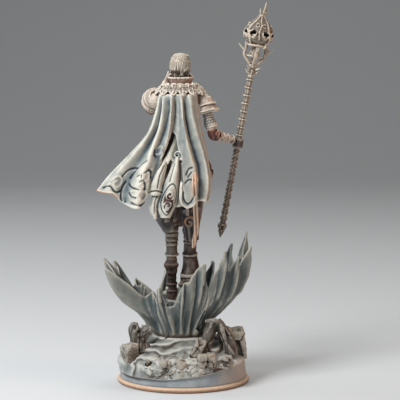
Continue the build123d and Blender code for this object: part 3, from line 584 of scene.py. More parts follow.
def plinth_paint(tones):
    """A pale turned drum over a copper rim, with painted warm light on the drum's right side, a painted highlight on
    the top of the bead, and painted shade in the groove and under the bead.
    """
    board = Board("turned_plinth")
    place = board.add("ShaderNodeTexCoord", out="Object")
    height = board.add("ShaderNodeSeparateXYZ", {}, {0: place}, out="Z")
    side = board.add("ShaderNodeSeparateXYZ", {}, {0: place}, out="X")
    rim = board.climb(height, 0.00205, 0.00185)  # the heights and sides here are in metres
    patch, speck = board.grain(6.0, 3.0), board.grain(0.8, 3.0)
    drum = board.mix(tuple(tones.drum), tuple(tones.drum_light), board.climb(patch, 0.35, 0.7))
    # painted warm light on the drum's right side
    drum = board.mix(drum, tuple(tones.drum_warm_light), board.climb(side + (patch - 0.5) * 0.01, 0.009, 0.022) * 0.85)
    # painted shade in the groove above the rim
    drum = board.mix(drum, tuple(tones.wash), board.climb(height, 0.0026, 0.0019) * 0.55)
    # painted highlight on the top of the bead
    bead_highlight = board.climb(height + (speck - 0.5) * 0.0008, 0.0008, 0.0015)
    bead = board.mix(tuple(tones.rim), tuple(tones.rim_light), bead_highlight)
    # painted shade under the bead
    bead = board.mix(bead, tuple(tones.wash), board.climb(height, 0.0005, 0.0001) * 0.5)
    colour = board.mix(drum, bead, rim)
    rough = 0.5 + (speck - 0.5) * 0.2
    skin = board.add("ShaderNodeBump", {}, {"Strength": 0.2, "Distance": 0.0001, "Height": speck})
    return finish(board, {"Base Color": colour, "Roughness": rough, "Normal": skin})


def steel_paint():
    """Drawn steel wire with fine lengthwise scratches."""
    board = Board("drawn_steel")
    scratch = board.grain(0.3, 4.0)
    colour = board.mix(ink(120, 122, 124), ink(176, 178, 180), board.climb(scratch, 0.3, 0.7))
    return finish(board, {"Base Color": colour, "Roughness": 0.25 + scratch * 0.2, "Metallic": 1.0})


# ---------------------------------------------------------------- the cape

CAPE_SHAPE = np.array(
    [
        [
            (0.538, 0.952, 0.999), (0.602, 0.789, 0.999), (0.694, 0.708, 0.999), (0.786, 0.749, 0.999),
            (0.864, 0.884, 0.999),
        ],
        [
            (0.51, 0.871, 0.847), (0.598, 0.694, 0.847), (0.694, 0.627, 0.842), (0.795, 0.667, 0.842),
            (0.882, 0.817, 0.838),
        ],
        [
            (0.437, 0.708, 0.657), (0.552, 0.559, 0.648), (0.68, 0.532, 0.643), (0.813, 0.586, 0.643),
            (0.919, 0.762, 0.638),
        ],
        [
            (0.286, 0.504, 0.477), (0.451, 0.382, 0.449), (0.634, 0.396, 0.439), (0.832, 0.491, 0.439),
            (0.965, 0.694, 0.43),
        ],
        [
            (0.111, 0.301, 0.297), (0.327, 0.179, 0.24), (0.588, 0.233, 0.226), (0.845, 0.382, 0.23),
            (0.997, 0.64, 0.216),
        ],
        [
            (0.006, 0.165, 0.159), (0.272, 0.029, 0.022), (0.538, 0.111, -0.012), (0.822, 0.301, -0.007),
            (0.965, 0.572, 0.031),
        ],
    ]
)  # down the back and from its left edge to its right, as shares of the cape's box
CAPE_CELLS = 160  # of the fine grid, each way
CAPE_DROP = 42.0  # millimetres that a share of 1 beyond the hem hangs down


def cape_surface():
    """The cape without its folds, as a fine grid of points."""
    low, high = corners("cape")
    wide = flow(CAPE_SHAPE, CAPE_CELLS + 1)
    wide = flow(wide.transpose(1, 0, 2), CAPE_CELLS + 1).transpose(1, 0, 2)
    return low + wide * (high - low)


CAPE_GRID = cape_surface()
CAPE_OUT = -grid_normals(CAPE_GRID, BACK)[0]


def on_cape(u, v, lift=0.0):
    """Points on the smooth cape, u across from its left edge and v down from its neck, lifted outwards."""
    u, v = np.broadcast_arrays(np.asarray(u, float), np.asarray(v, float))
    x, y = np.clip(u, 0, 1) * CAPE_CELLS, np.clip(v, 0, 1) * CAPE_CELLS
    i, j = np.minimum(y.astype(int), CAPE_CELLS - 1), np.minimum(x.astype(int), CAPE_CELLS - 1)
    fy, fx = (y - i)[..., None], (x - j)[..., None]

    def read(table):
        top = table[i, j] * (1 - fx) + table[i, j + 1] * fx
        return top * (1 - fy) + (table[i + 1, j] * (1 - fx) + table[i + 1, j + 1] * fx) * fy

    below = np.maximum(v - 1, 0)[..., None] * -UP * CAPE_DROP
    return read(CAPE_GRID) + read(CAPE_OUT) * np.asarray(lift, float)[..., None] + below


FOLD_ROWS = (0.0, 0.25, 0.45, 0.65, 0.85, 1.0)
CAPE_FOLDS = np.array(
    [
        [(0, 0.3), (0, 0.2), (0, 0.1), (0, 0.1), (0, 0.0), (0, -0.1)],
        [(0.04, 0.3), (0.045, 0.4), (0.055, 0.7), (0.06, 0.8), (0.065, 0.6), (0.07, 0.4)],
        [(0.085, -0.2), (0.1, -0.8), (0.125, -1.2), (0.165, -1.0), (0.205, -1.5), (0.21, -1.4)],
        [(0.155, 0.6), (0.19, 0.7), (0.22, 0.9), (0.28, 1.3), (0.315, 1.8), (0.33, 1.5)],
        [(0.30, -0.7), (0.292, -0.9), (0.29, -0.9), (0.345, 0.6), (0.37, 0.9), (0.375, 0.6)],
        [(0.375, 0.7), (0.378, 0.9), (0.388, 0.8), (0.385, 0.0), (0.4, -0.2), (0.41, -0.3)],
        [(0.445, -0.7), (0.45, -1.3), (0.43, -0.7), (0.46, -0.4), (0.47, -0.4), (0.48, -0.4)],
        [(0.52, 0.1), (0.54, -0.2), (0.57, -0.1), (0.62, 0.6), (0.63, 0.4), (0.64, 0.3)],
        [(0.585, 0.7), (0.605, 0.8), (0.665, 0.9), (0.725, 1.0), (0.745, 0.7), (0.76, 0.4)],
        [(0.66, -0.7), (0.68, -1.2), (0.75, -1.5), (0.825, -1.3), (0.815, -1.0), (0.83, -0.8)],
        [(0.78, 0.8), (0.80, 0.7), (0.87, 0.7), (0.905, 1.1), (0.9, 1.2), (0.9, 0.8)],
        [(0.92, 0.2), (0.93, 0.3), (0.95, 0.3), (0.965, 0.3), (0.965, 0.1), (0.965, 0.0)],
        [(1, 0.0), (1, -0.1), (1, -0.3), (1, -0.5), (1, -0.7), (1, -0.7)],
    ]
)  # each crest and valley: its place across and its height in millimetres, at the rows


def fold_height(u, v):
    """How far the folds lift the cape at each point."""
    shape = np.shape(u)
    u, v = np.ravel(u), np.ravel(v)
    rows = np.interp(v, FOLD_ROWS, range(len(FOLD_ROWS)))
    at = np.minimum(rows.astype(int), len(FOLD_ROWS) - 2)
    f = rows - at
    lines = CAPE_FOLDS.transpose(1, 0, 2)
    level = lines[at] * (1 - f)[:, None, None] + lines[at + 1] * f[:, None, None]
    place, height = level[..., 0], level[..., 1]
    cell = np.clip((u[:, None] >= place).sum(1) - 1, 0, place.shape[1] - 2)
    n = np.arange(len(u))
    a, b = place[n, cell], place[n, cell + 1]
    t = np.clip((u - a) / np.maximum(b - a, 1e-6), 0, 1)
    t = t * t * (3 - 2 * t)
    # the third fold rolls outwards in the lower left
    roll = bump(u, np.interp(v, [0.45, 0.6, 0.8, 1], [0.22, 0.275, 0.31, 0.33]), 0.06) * rise(v, 0.5, 0.75)
    return (height[n, cell] * (1 - t) + height[n, cell + 1] * t + 0.9 * roll).reshape(shape)


def cape_line(knots, count=24, lift=0.0):
    """A line drawn on the folded cape."""
    path = flow(knots, count)
    return on_cape(path[:, 0], path[:, 1], fold_height(path[:, 0], path[:, 1]) + lift)


def cape_hem(u):
    """How far down the cape reaches; it is slit up the middle of the back."""
    u = np.asarray(u, float)
    knots = [
        (0, 0.99), (0.06, 0.975), (0.115, 0.945), (0.17, 0.96), (0.22, 0.975), (0.30, 1.0), (0.35, 0.995),
        (0.378, 0.94), (0.395, 0.84), (0.408, 0.66), (0.415, 0.52), (0.421, 0.41), (0.43, 0.365), (0.455, 0.372),
        (0.505, 0.40), (0.54, 0.46), (0.57, 0.52), (0.60, 0.55), (0.625, 0.60), (0.638, 0.80), (0.648, 0.93),
        (0.66, 0.965), (0.70, 0.99), (0.75, 0.975), (0.80, 0.94), (0.86, 0.945), (0.93, 0.97), (1.0, 0.95),
    ]
    return np.interp(u, *zip(*knots))


# crisp cuts and raised scrolls in the lower left of the cape
CAPE_CUTS = [
    [(0.03, 0.93), (0.05, 0.90), (0.085, 0.89), (0.115, 0.915), (0.15, 0.905), (0.165, 0.88)],
    [(0.175, 0.80), (0.17, 0.86), (0.18, 0.93), (0.205, 0.97), (0.225, 0.955)],
    [(0.195, 0.765), (0.20, 0.715), (0.225, 0.655), (0.255, 0.63)],
    [(0.215, 0.815), (0.24, 0.835), (0.275, 0.85), (0.31, 0.855)],
    [(0.125, 0.775), (0.13, 0.72), (0.16, 0.69), (0.20, 0.685)],
    [(0.28, 0.535), (0.30, 0.57), (0.33, 0.585)],
    [(0.31, 0.725), (0.335, 0.70), (0.36, 0.715), (0.375, 0.755)],
    [(0.255, 0.755), (0.285, 0.745), (0.30, 0.765)],
    [(0.295, 0.80), (0.325, 0.785), (0.35, 0.81), (0.355, 0.85)],
    [(0.24, 0.885), (0.265, 0.91), (0.30, 0.915)],
    [(0.27, 0.955), (0.31, 0.965), (0.355, 0.96), (0.385, 0.92)],
    [(0.665, 0.735), (0.68, 0.70), (0.70, 0.682), (0.725, 0.68)],
    [(0.68, 0.755), (0.695, 0.735), (0.71, 0.72)],
    [(0.66, 0.80), (0.69, 0.775), (0.72, 0.785), (0.742, 0.83), (0.745, 0.90), (0.73, 0.935)],
    [(0.652, 0.86), (0.66, 0.90), (0.675, 0.93), (0.70, 0.95), (0.725, 0.94)],
]
CAPE_RIDGES = [
    [
        (0.07, 0.82), (0.085, 0.79), (0.115, 0.785), (0.145, 0.81), (0.14, 0.86), (0.11, 0.875), (0.09, 0.85),
        (0.105, 0.825),
    ],
    [(0.045, 0.90), (0.07, 0.87), (0.10, 0.885), (0.135, 0.895)],
    [(0.27, 0.775), (0.285, 0.73), (0.32, 0.712), (0.35, 0.735), (0.355, 0.775), (0.33, 0.79), (0.315, 0.77)],
    [(0.25, 0.875), (0.275, 0.86), (0.305, 0.875), (0.30, 0.905), (0.27, 0.90)],
    [(0.31, 0.92), (0.325, 0.875), (0.36, 0.86), (0.38, 0.89), (0.36, 0.93), (0.335, 0.925)],
    [(0.30, 0.83), (0.32, 0.81), (0.34, 0.83), (0.325, 0.85)],
    [(0.30, 0.515), (0.33, 0.495), (0.36, 0.515), (0.355, 0.555), (0.325, 0.565)],
    [(0.365, 0.57), (0.385, 0.55), (0.40, 0.565), (0.395, 0.595)],
]


CUT_DEPTH, CUT_WIDTH = 0.62, 0.26
RIDGE_HEIGHT, RIDGE_WIDTH = 0.34, 0.45


def build_cape(sizes):
    across, down = 230, 150
    s = np.linspace(0, 1, across)
    # more cells where the slit is
    reach = np.interp(s, [0, 0.31, 0.45, 0.56, 0.68, 1], [0, 0.37, 0.44, 0.61, 0.66, 1])
    u = np.broadcast_to(reach, (down, across))
    t = np.linspace(0, 1, down)[:, None]
    v = t * cape_hem(u)
    height = fold_height(u, v) * sizes.fold_depth * rise(v, -0.05, 0.12) * (1.3 - 0.3 * rise(v, 0.35, 0.6))
    # the hem's lips roll outwards
    lip = rise(t, 0.965, 1.0) * rise(v, 0.75, 0.9) * (0.3 + 0.2 * np.sin(u * 61))
    grid = on_cape(u, v, height + lip)
    flat = grid.reshape(-1, 3)
    lift = np.zeros(len(flat))
    for cut in CAPE_CUTS:
        lift -= CUT_DEPTH * cord_mark(flat, cape_line(cut), CUT_WIDTH)
    for ridge in CAPE_RIDGES:
        path = cape_line(ridge, 34)
        lift += RIDGE_HEIGHT * cord_mark(flat, path, RIDGE_WIDTH) - 0.16 * cord_mark(flat, path, 1.0)
    lift += 0.05 * mottle(flat, 1.6, 3) + 0.16 * mottle(flat * (1, 1, 0.35), 3.2, 5)
    grid = grid - grid_normals(grid, BACK)[0] * lift.reshape(v.shape)[..., None]
    rim = np.minimum(np.minimum(rise(s, 0, 0.012), rise(1 - s, 0, 0.012))[None, :], rise(1 - t, 0, 0.02))
    wall = sizes.cape_wall * MM * (0.35 + 0.65 * rim)
    clay = Clay()
    clay.sheet(grid, wall, BACK)
    edge_paths = [grid[-1, reach < 0.16], grid[:, -1]]

    def hem(points):
        mark = np.zeros(len(points))
        for path in edge_paths:
            mark = np.maximum(mark, cord_mark(points, path[::2], 0.42))
        return mark

    clay.cast("cape_back", "cape", ["cape"], voxel=0, ease=1, mark=hem, broad=1.9)


def build_cape_layers(sizes):
    # the torn layer that shows in the slit
    across, down = 70, 70
    u = np.broadcast_to(np.linspace(0.36, 0.68, across), (down, across))
    torn = 0.62 + 0.018 * np.sin(np.linspace(0, 21, across)) + 0.012 * np.sin(np.linspace(2, 47, across))
    v = 0.31 + np.linspace(0, 1, down)[:, None] * (torn - 0.31)
    folds = 0.6 * np.sin((u - 0.33) * 40 + v * 3) * rise(v, 0.3, 0.5)
    sunk = np.interp(v, [0.31, 0.42, 0.5, 0.62], [2.8, 2.4, 1.7, 0.9])  # behind the cape, deepest in the slit's peak
    grid = on_cape(u, v, folds * 0.7 * rise(v, 0.36, 0.5) - sunk)
    clay = Clay().sheet(grid, 0.8, BACK)
    clay.scroll(on_cape(0.575, 0.565, -0.75), RIGHT, UP + BACK * 0.2, 1.5, 1.3, 0.4, (0.34, 0.2), 8, BACK)

    def slit_shade(points):
        left_edge = on_cape([0.415, 0.415, 0.42, 0.40], [0.36, 0.44, 0.52, 0.60], -2.4)
        return 1.3 * cord_mark(points, left_edge, 1.7)

    clay.cast("cape_under_layer", "lining", ["cape_under"], 0.25, 1, mark=slit_shade)

    # hanging tails that come out under the torn edge, each crowned like a finger: middle line across and down,
    # half width, crown and how far behind the cape
    clay = Clay()
    tails = np.array(
        [
            [
                (0.455, 0.58, 0.03, 2.2, 3.0), (0.435, 0.70, 0.055, 2.2, 1.8), (0.43, 0.80, 0.062, 2.2, 1.5),
                (0.445, 0.87, 0.06, 2.1, 1.5), (0.45, 0.89, 0.045, 2.0, 1.6),
            ],
            [
                (0.47, 0.80, 0.035, 1.5, 2.2), (0.46, 0.90, 0.042, 1.5, 2.0), (0.455, 0.97, 0.036, 1.5, 2.0),
                (0.47, 1.03, 0.025, 1.4, 2.0), (0.48, 1.07, 0.008, 1.4, 2.0),
            ],
            [
                (0.58, 0.58, 0.035, 2.4, 3.0), (0.57, 0.70, 0.05, 2.4, 1.7), (0.56, 0.82, 0.066, 2.4, 1.5),
                (0.555, 0.95, 0.07, 2.3, 1.5), (0.555, 1.06, 0.034, 2.0, 1.8),
            ],
            [
                (0.62, 0.56, 0.03, 1.0, 3.2), (0.63, 0.68, 0.035, 1.0, 2.6), (0.635, 0.80, 0.04, 1.0, 2.4),
                (0.64, 0.90, 0.04, 1.0, 2.4), (0.645, 0.97, 0.03, 1.0, 2.4),
            ],
        ]
    )

    def on_tail(tail, across, down, lift=0.0):
        u, half, crown, inset = (np.interp(down, tail[:, 1], tail[:, k]) for k in (0, 2, 3, 4))
        return on_cape(u + across * half, down, crown * (1 - across**2) - inset + lift)

    across = np.linspace(-1, 1, 17)
    for tail in tails:
        down = np.linspace(tail[0, 1], tail[-1, 1], 44)[:, None]
        clay.sheet(on_tail(tail, across[None, :], down), 1.0, BACK)
    turn = np.linspace(0, 2 * math.pi, 50)
    oval = on_tail(tails[2], 0.78 * np.sin(turn), 0.92 - 0.115 * np.cos(turn))
    spirals = []
    for down, start, size in ((0.885, 0.5, 0.5), (0.96, 3.4, 0.42)):
        wind = np.linspace(0, 1, 26)
        angle, radius = start + wind * 8.2, size * (1 - 0.8 * wind)
        spirals.append(on_tail(tails[2], radius * np.cos(angle), down + 0.075 * radius * np.sin(angle), 0.05))
        clay.tube(spirals[-1], np.linspace(0.27, 0.16, 26), 8, BACK)
    grooves = [
        oval,
        on_tail(tails[0], np.linspace(-0.9, 0.9, 9), 0.865 - 0.01 * np.cos(np.linspace(-1.5, 1.5, 9))),
        on_tail(tails[0], np.array([0.35, 0.2, 0.25]), np.array([0.66, 0.74, 0.83])),
        on_tail(tails[2], np.array([-0.5, -0.55, -0.5]), np.array([0.64, 0.71, 0.78])),
        on_tail(tails[1], np.array([0.1, 0.0, 0.1]), np.array([0.86, 0.93, 1.02])),
    ]

    def inlay(points):
        middle = on_tail(tails[2], np.array(0.0), np.array(0.935))
        mark = 1.3 * np.exp(-((np.linalg.norm((points - middle) * (1.15, 1, 0.55), axis=1) / 2.3) ** 4))
        for path in spirals:
            mark = mark - 1.0 * cord_mark(points, path, 0.3)
        return mark * (mottle(points, 1.1, 17) > -0.45)

    def creases(points, normals):
        lift = 0.07 * mottle(points * (1, 1, 0.3), 1.6, 11)
        for path in grooves:
            lift = lift - 0.5 * cord_mark(points, path, 0.3)
        return lift

    clay.cast("cape_tail_fingers", "tails", ["cape_tails"], 0.22, 1, creases, mark=inlay)

    # the copper ribbon that runs off the cape and down over the right leg
    clay = Clay()
    start = cape_line([(0.735, 0.72), (0.735, 0.80), (0.73, 0.88)], 6, 0.9)
    end = spots("cape_ribbon", (1.22, 0.75, 0.46), (1.25, 0.86, 0.30), (1.12, 0.95, 0.14), (0.98, 1.0, 0.0))
    path = flow([*start[::2], *end], 44)
    wide = np.interp(np.linspace(0, 1, 44), [0, 0.15, 0.6, 1], [0.7, 1.15, 1.2, 0.6])
    clay.tube(path, wide, 16, BACK, 0.5)

    def pleats(points, normals):
        return 0.14 * np.sin(points[:, 0] * 5.5 + points[:, 2] * 0.25)

    clay.cast("cape_edge_ribbon", "ribbon", ["cape_ribbon"], 0.2, 2, pleats)


# ---------------------------------------------------------------- the splash

# bearings in degrees, how far the rim stands from the crown's centre and how high over the ground, in millimetres
RIMS = {
    "splash_front": [
        (237, 15, 13), (246, 18, 20), (255, 14.5, 12.6), (261, 14, 12.6), (268, 15, 17.6), (274, 16.5, 21.8),
        (281, 16.6, 21.8), (290, 17.4, 25.2), (301, 19, 29.0), (310, 17.2, 19.4),
    ],
    "splash_right": [
        (309, 17.2, 19.4), (317, 19, 26), (324, 21.2, 33.2), (331, 20.8, 25), (338, 24, 30.8), (345, 22.6, 26),
        (353, 27.2, 33.6), (360, 24.2, 28), (367, 25.8, 38.6), (375, 22, 25),
    ],
    "splash_back": [
        (374, 22, 25), (386, 22.4, 33), (396, 17.8, 19), (410, 19.6, 25.6), (424, 16, 16), (438, 18.6, 23),
        (452, 16, 15), (466, 20.6, 21.4), (483, 17, 13),
    ],
    "splash_left": [
        (482, 17, 13), (498, 22.6, 19), (510, 18.4, 13.4), (524, 25.8, 26.8), (531, 23.6, 22), (539, 28.2, 28.6),
        (548, 22.6, 20.6), (558, 28.6, 26.2), (574, 15.2, 15.4), (586, 13.6, 17.8), (599, 15, 13),
    ],
}
# how far each blade has leant out at equal steps up it, from its root at 0 to its rim at 1
SPREAD = {
    "splash_front": (0, 0.14, 0.36, 0.60, 0.80, 0.92, 1),
    "splash_right": (0, 0.16, 0.52, 0.82, 0.95, 1, 1),
    "splash_back": (0, 0.14, 0.38, 0.64, 0.84, 0.94, 1),
    "splash_left": (0, 0.17, 0.36, 0.66, 0.84, 0.93, 1),
}
ROOT_RADIUS = 9.5  # of the crown where it leaves the ground
SPRAY = ((0.16, 0.62, 0.9), (0.13, 0.5, 0.8), (0.2, 0.68, 0.7), (0.1, 0.58, 0.6), (0.19, 0.52, 0.6))  # drops at a tip


def crown_centre():
    """The middle of the crown's foot, one glue line over the ground."""
    return spot("ground", 0.479, 0.4945, 1.0) + UP * 0.06


def rim_at(rim, bearings):
    """The rim's radius and rise at each bearing, with hollow-sided points, and 1 at a tip to 0 at a notch."""
    knots = np.array(rim, float)
    b, r, h = knots.T
    tall = np.array([h[i] >= max(h[max(i - 1, 0)], h[min(i + 1, len(h) - 1)]) for i in range(len(h))], float)
    i = np.clip(np.searchsorted(b, bearings, side="right") - 1, 0, len(b) - 2)
    s = np.clip((bearings - b[i]) / (b[i + 1] - b[i]), 0, 1)
    smooth = s * s * (3 - 2 * s)
    share = 0.4 * s + 0.6 * smooth
    height = h[i] + (h[i + 1] - h[i]) * share
    radius = r[i] + (r[i + 1] - r[i]) * (0.5 * share + 0.5 * s)
    return radius, height, tall[i] + (tall[i + 1] - tall[i]) * s


def build_splash(sizes):
    centre = crown_centre()
    for seed, (node, rim) in enumerate(RIMS.items()):
        first, last = rim[0][0], rim[-1][0]
        columns = int((last - first) * 1.9)
        bearings = np.linspace(first, last, columns)
        radius, height, phase = rim_at(rim, bearings)
        t = np.linspace(0, 1, 64)[:, None]
        spread = np.interp(t, np.linspace(0, 1, 7), SPREAD[node])
        lean = 9 * np.sin(np.radians(bearings - 270)) * (1 - t) ** 1.5
        sway = 2.2 * np.sin(t * 3.1 + bearings * 0.11) * t
        ends = rise(bearings, first, first + 5) * rise(-bearings, -last, -last + 5)
        angle = np.radians(bearings - (lean - sway) * ends)
        out = np.stack([np.cos(angle), np.sin(angle), 0 * angle], axis=-1)
        reach = ROOT_RADIUS + (radius - ROOT_RADIUS) * spread
        flute = 0.75 * bump(phase, 1, 0.3) - 0.7 * bump(phase, 0.5, 0.22) + 0.25 * bump(phase, 0.2, 0.12)
        flute = flute * (0.25 + 0.75 * rise(t, 0.15, 0.7)) * (1 - 0.6 * rise(t, 0.85, 1))
        streak = 0.55 * np.sin(bearings * 0.33 + 2.0 * np.sin(t * 2.2 + bearings * 0.04)) * (1 - 0.6 * t)
        reach = reach + (flute + streak) * sizes.flute_depth * rise(t, 0, 0.12) * (0.3 + 0.7 * ends)
        grid = centre + out * reach[..., None] + UP * (t * height)[..., None]
        thick = 1.45 - 0.75 * t + 0 * bearings
        clay = Clay().sheet(grid, thick, (grid - centre) * (1, 1, 0))
        for (b, r, h), (_, _, before), (_, _, after) in zip(rim[1:-1], rim, rim[2:]):
            if h > max(before, after):  # the tips end in a thickened, slightly hooked drop
                way = np.array((math.cos(math.radians(b)), math.sin(math.radians(b)), 0))
                tip = centre + way * r + UP * h
                root = centre + way * (ROOT_RADIUS + (r - ROOT_RADIUS) * 0.86) + UP * h * 0.72
                hook = [root, (root + tip) / 2 + way * 0.25, tip - UP * 0.5, tip - way * 0.15]
                clay.rope(hook, 10, (0.75, 0.42))
        if node == "splash_left":  # a row of thin shards inside the petal: place across and height of each tip
            for across, up in ((-2.6, 34.6), (-1.2, 36.0), (0.2, 35.2), (1.6, 35.8), (2.8, 34.4)):
                foot, tip = (-17.6 + across * 0.3, 8.4, 26), (-17.4 + across, 8.3, up)
                clay.rope([foot, (-17.5 + across * 0.8, 8.4, up - 3.0), tip], 10, (1.3, 0.3), 6)
        if node == "splash_front":
            for x, z, size in SPRAY:
                clay.ball(spot(node, x, 0.3, z), size)

        def ripples(points, normals, seed=seed):
            lift = 0.14 * mottle(points * (1, 1, 0.25), 2.0, 21 + seed) + 0.03 * mottle(points, 1.2, 31 + seed)
            return lift

        def foot(points):
            """Painted shadow round the crown's root, darkest where it meets the ground."""
            return 0.75 * (1 - rise(points[:, 2], centre[2] + 0.2, centre[2] + 3.2 + 0.8 * mottle(points, 2.0, 43)))

        clay.cast(node + "_water", "splash", [node], 0.3, 2, ripples, 0.5, 2.0, foot)

    clay = Clay().node("splash_jet")
    low, high = corners("splash_jet")
    axis = (low + high) / 2
    for k in range(5):
        turn = np.linspace(0, 1, 26)
        angle = k * 2 * math.pi / 5 + turn * 2.4
        radius = np.interp(turn, [0, 0.5, 1], [4.4, 3.7, 3.9]) + 0.15
        climb = (turn - 0.5) * (high[2] - low[2] - 0.8)
        path = axis + np.stack([np.cos(angle) * radius, np.sin(angle) * radius, climb], 1)
        clay.tube(path, np.interp(turn, [0, 0.5, 1], [0.9, 0.6, 0.45]), 8, sides_out(path, axis))

    def swirls(points, normals):
        angle = np.arctan2(points[:, 1] - axis[1], points[:, 0] - axis[0])
        lift = 0.22 * np.sin(angle * 9 - points[:, 2] * 0.9) + 0.12 * mottle(points, 1.2, 41)
        flat = np.abs(normals[:, 2]) > 0.8
        return np.where(flat, 0, lift)

    clay.cast("splash_jet_water", "splash", ["splash_jet"], 0.26, 2, swirls)


def sides_out(path, axis):
    """The level way out from an upright axis, at each point of a path."""
    return unit((path - axis) * (1, 1, 0))


# ---------------------------------------------------------------- ground and rocks


LEDGE_PITCH = 4.6  # millimetres from one ledge to the next
GROUND_SINK = 0.45  # millimetres that the ground is carved back, to leave room for its ledges


def build_ground(sizes):
    centre = crown_centre()
    clay = Clay().node("ground")
    low, high = corners("ground")

    def terraces(points, normals):
        level = points - centre
        reach = np.hypot(level[:, 0], level[:, 1])
        bearing = np.arctan2(level[:, 1], level[:, 0])
        wander = 2.6 * mottle(points, 7.0, 51) + 0.8 * mottle(points, 2.6, 52)
        step = ((reach + wander) / LEDGE_PITCH) % 1.0
        ledge = step**1.6 * (1 - rise(step, 0.86, 1.0)) * sizes.ledge_height * MM
        stream = 0.24 * np.sin(bearing * 8 + 2.2 * mottle(points, 5.0, 53)) + 0.12 * mottle(points, 1.4, 54)
        # the front is broken stone rather than flowing ledges
        crack, chip = chips(points * (1, 1, 1.4), 3.4, 55)
        near = rise(-points[:, 1], 15.0, 19.0) * rise(points[:, 0], -19.0, -13.0)
        split = (0.2 * chip - 0.32 * np.exp(-((crack / 0.16) ** 2)) * (chip > -0.5)) * near
        top = rise(points[:, 2], low[2] + 0.2, low[2] + 1.6) * rise(-points[:, 2], -high[2] + 0.02, -high[2] + 0.7)
        calm = np.where(normals[:, 2] < -0.6, 0, top)
        return (ledge * (1 - 0.6 * near) - GROUND_SINK + stream + split) * calm

    def lips(points):
        """The ground's rim, with a painted shadow line where it laps over the plinth."""
        return rise(-points[:, 2], -low[2] - 1.3, -low[2] - 0.4) * 0.8

    clay.cast("ground_water", "ground", ["ground"], 0.34, 2, terraces, 0.5, 1.8, lips)


def broken(seed, size=1.6, depth=0.35, rough=0.16, grow=0.0):
    """Carving for split stone: flat chips with cracks between."""

    def carve(points, normals):
        crack, chip = chips(points * (1, 1, 0.8), size * 1.5, seed)
        lean = [chance(np.floor(np.stack([chip * 99, chip * 0 + k, chip * 0], 1)), seed) for k in range(3)]
        lean = np.stack(lean, 1)
        facet = ((lean - 0.5) * (points - points.mean(0))).sum(1) * 0.34
        split = depth * 0.55 * np.exp(-((crack / 0.14) ** 2)) * (chip > 0.2)
        lift = grow + depth * 0.9 * chip + np.clip(facet, -0.5, 0.5) - split + rough * mottle(points, 0.5, seed + 3)
        return lift

    return carve


def build_rocks(sizes):
    deep = sizes.chip_depth * MM
    rocks = [  # node, seed and size of the chips
        ("boulder_left", 61, 2.6), ("slab_front", 62, 3.0), ("block_front", 63, 2.8), ("rocks_back", 64, 3.4),
        ("crag_right_low", 65, 3.0), ("crag_right_high", 66, 3.6),
    ]
    for node, seed, size in rocks:
        clay = Clay().node(node)
        clay.cast(node + "_stone", "rock", [node], 0.25, 1, broken(seed, size, deep), 0.4, 1.4)
    clay = Clay().node("rubble")
    heap = (
        (0.438, 0.083, 0.3, 1.2), (0.489, 0.104, 0.55, 1.0), (0.532, 0.061, 0.16, 1.5), (0.592, 0.093, 0.5, 1.2),
        (0.634, 0.061, 0.1, 1.3), (0.566, 0.029, -0.25, 1.1), (0.456, 0.029, -0.25, 1.2), (0.677, 0.039, -0.36, 1.3),
        (0.515, 0.018, -0.4, 0.9), (0.387, 0.05, 0.03, 0.9),
    )  # a heap of split stones in front of the block: place in the rubble's box and half size
    for k, (x, y, z, size) in enumerate(heap):
        lean = k * 1.9
        axes = [(math.cos(lean), math.sin(lean), 0.3), (-math.sin(lean), math.cos(lean), 0.2), (0, -0.35, 1)]
        clay.ball(spot("rubble", x, y, z), (size * 1.15, size * 0.8, size * 0.7), [unit(a) for a in axes], 5)
    split = broken(67, 2.0, deep, grow=0.35)
    clay.cast("rubble_stones", "rock", ["rubble"], 0.24, 1, split, 0.4, 1.2)

    def bark(seed, along):
        def carve(points, normals):
            line = points * along
            lift = 0.3 * mottle(line, 1.7, seed) + 0.08 * mottle(line, 0.6, seed + 1) - 0.28 * np.exp(
                -((np.abs(mottle(line, 2.2, seed + 2)) / 0.12) ** 2)
            )
            return lift

        return carve

    # a snapped trunk with a leaning branch and torn ends
    clay = Clay().node("stump_left")
    top = spot("stump_left", 0.3, 0.45, 0.9)
    splinters = (  # place from the top's middle, radius and length
        ((-0.9, 0.2, 0.1), 0.7, 1.2), ((0.8, -0.3, 0.0), 0.8, 1.0),
        ((0.1, 0.7, 0.2), 0.6, 1.4), ((1.9, 0.0, -0.7), 0.6, 0.8),
    )
    for shift, size, grow in splinters:
        shift = np.array(shift)
        root = top + shift
        splinter = [root - UP * 1.5, root, root + UP * grow * 0.4 + shift * 0.15]
        clay.tube(splinter, [size, size * 0.8, size * 0.25], 7)
    branch = spots("stump_left", (0.35, 0.4, 0.62), (0.62, 0.3, 0.66), (0.95, 0.35, 0.84))
    clay.rope(branch, 12, (1.0, 0.42))
    clay.ball(spot("stump_left", 0.3, 0.1, 0.75), (0.8, 0.7, 0.9))
    clay.cast("stump_wood", "root", ["stump_left"], 0.23, 1, bark(71, (1, 1, 0.35)), 0.4, 1.3)

    # the hollow root arch with runners down to the ground
    clay = Clay().node("root_arch")
    arch = [
        [(0.15, 0.2, 0.95), (0.45, 0.1, 0.98), (0.7, 0.3, 0.75), (0.85, 0.4, 0.45), (0.98, 0.5, 0.1)],
        [(0.55, 0.15, 0.95), (0.62, 0.02, 0.7), (0.72, 0.05, 0.4), (0.92, 0.1, 0.12)],
        [(0.3, 0.1, 0.92), (0.25, 0.0, 0.75), (0.1, 0.05, 0.6)],
    ]
    for knots, size in zip(arch, (0.85, 0.7, 0.6)):
        path = flow(spots("root_arch", *knots), 18)
        clay.tube(path, size * (1 - 0.35 * np.linspace(0, 1, 18)) * (1 + 0.15 * np.sin(np.arange(18) * 1.7)), 8)
    clay.cast("root_wood", "root", ["root_arch"], 0.24, 1, bark(75, (0.6, 1, 0.6)), 0.4, 1.3)


# ---------------------------------------------------------------- legs


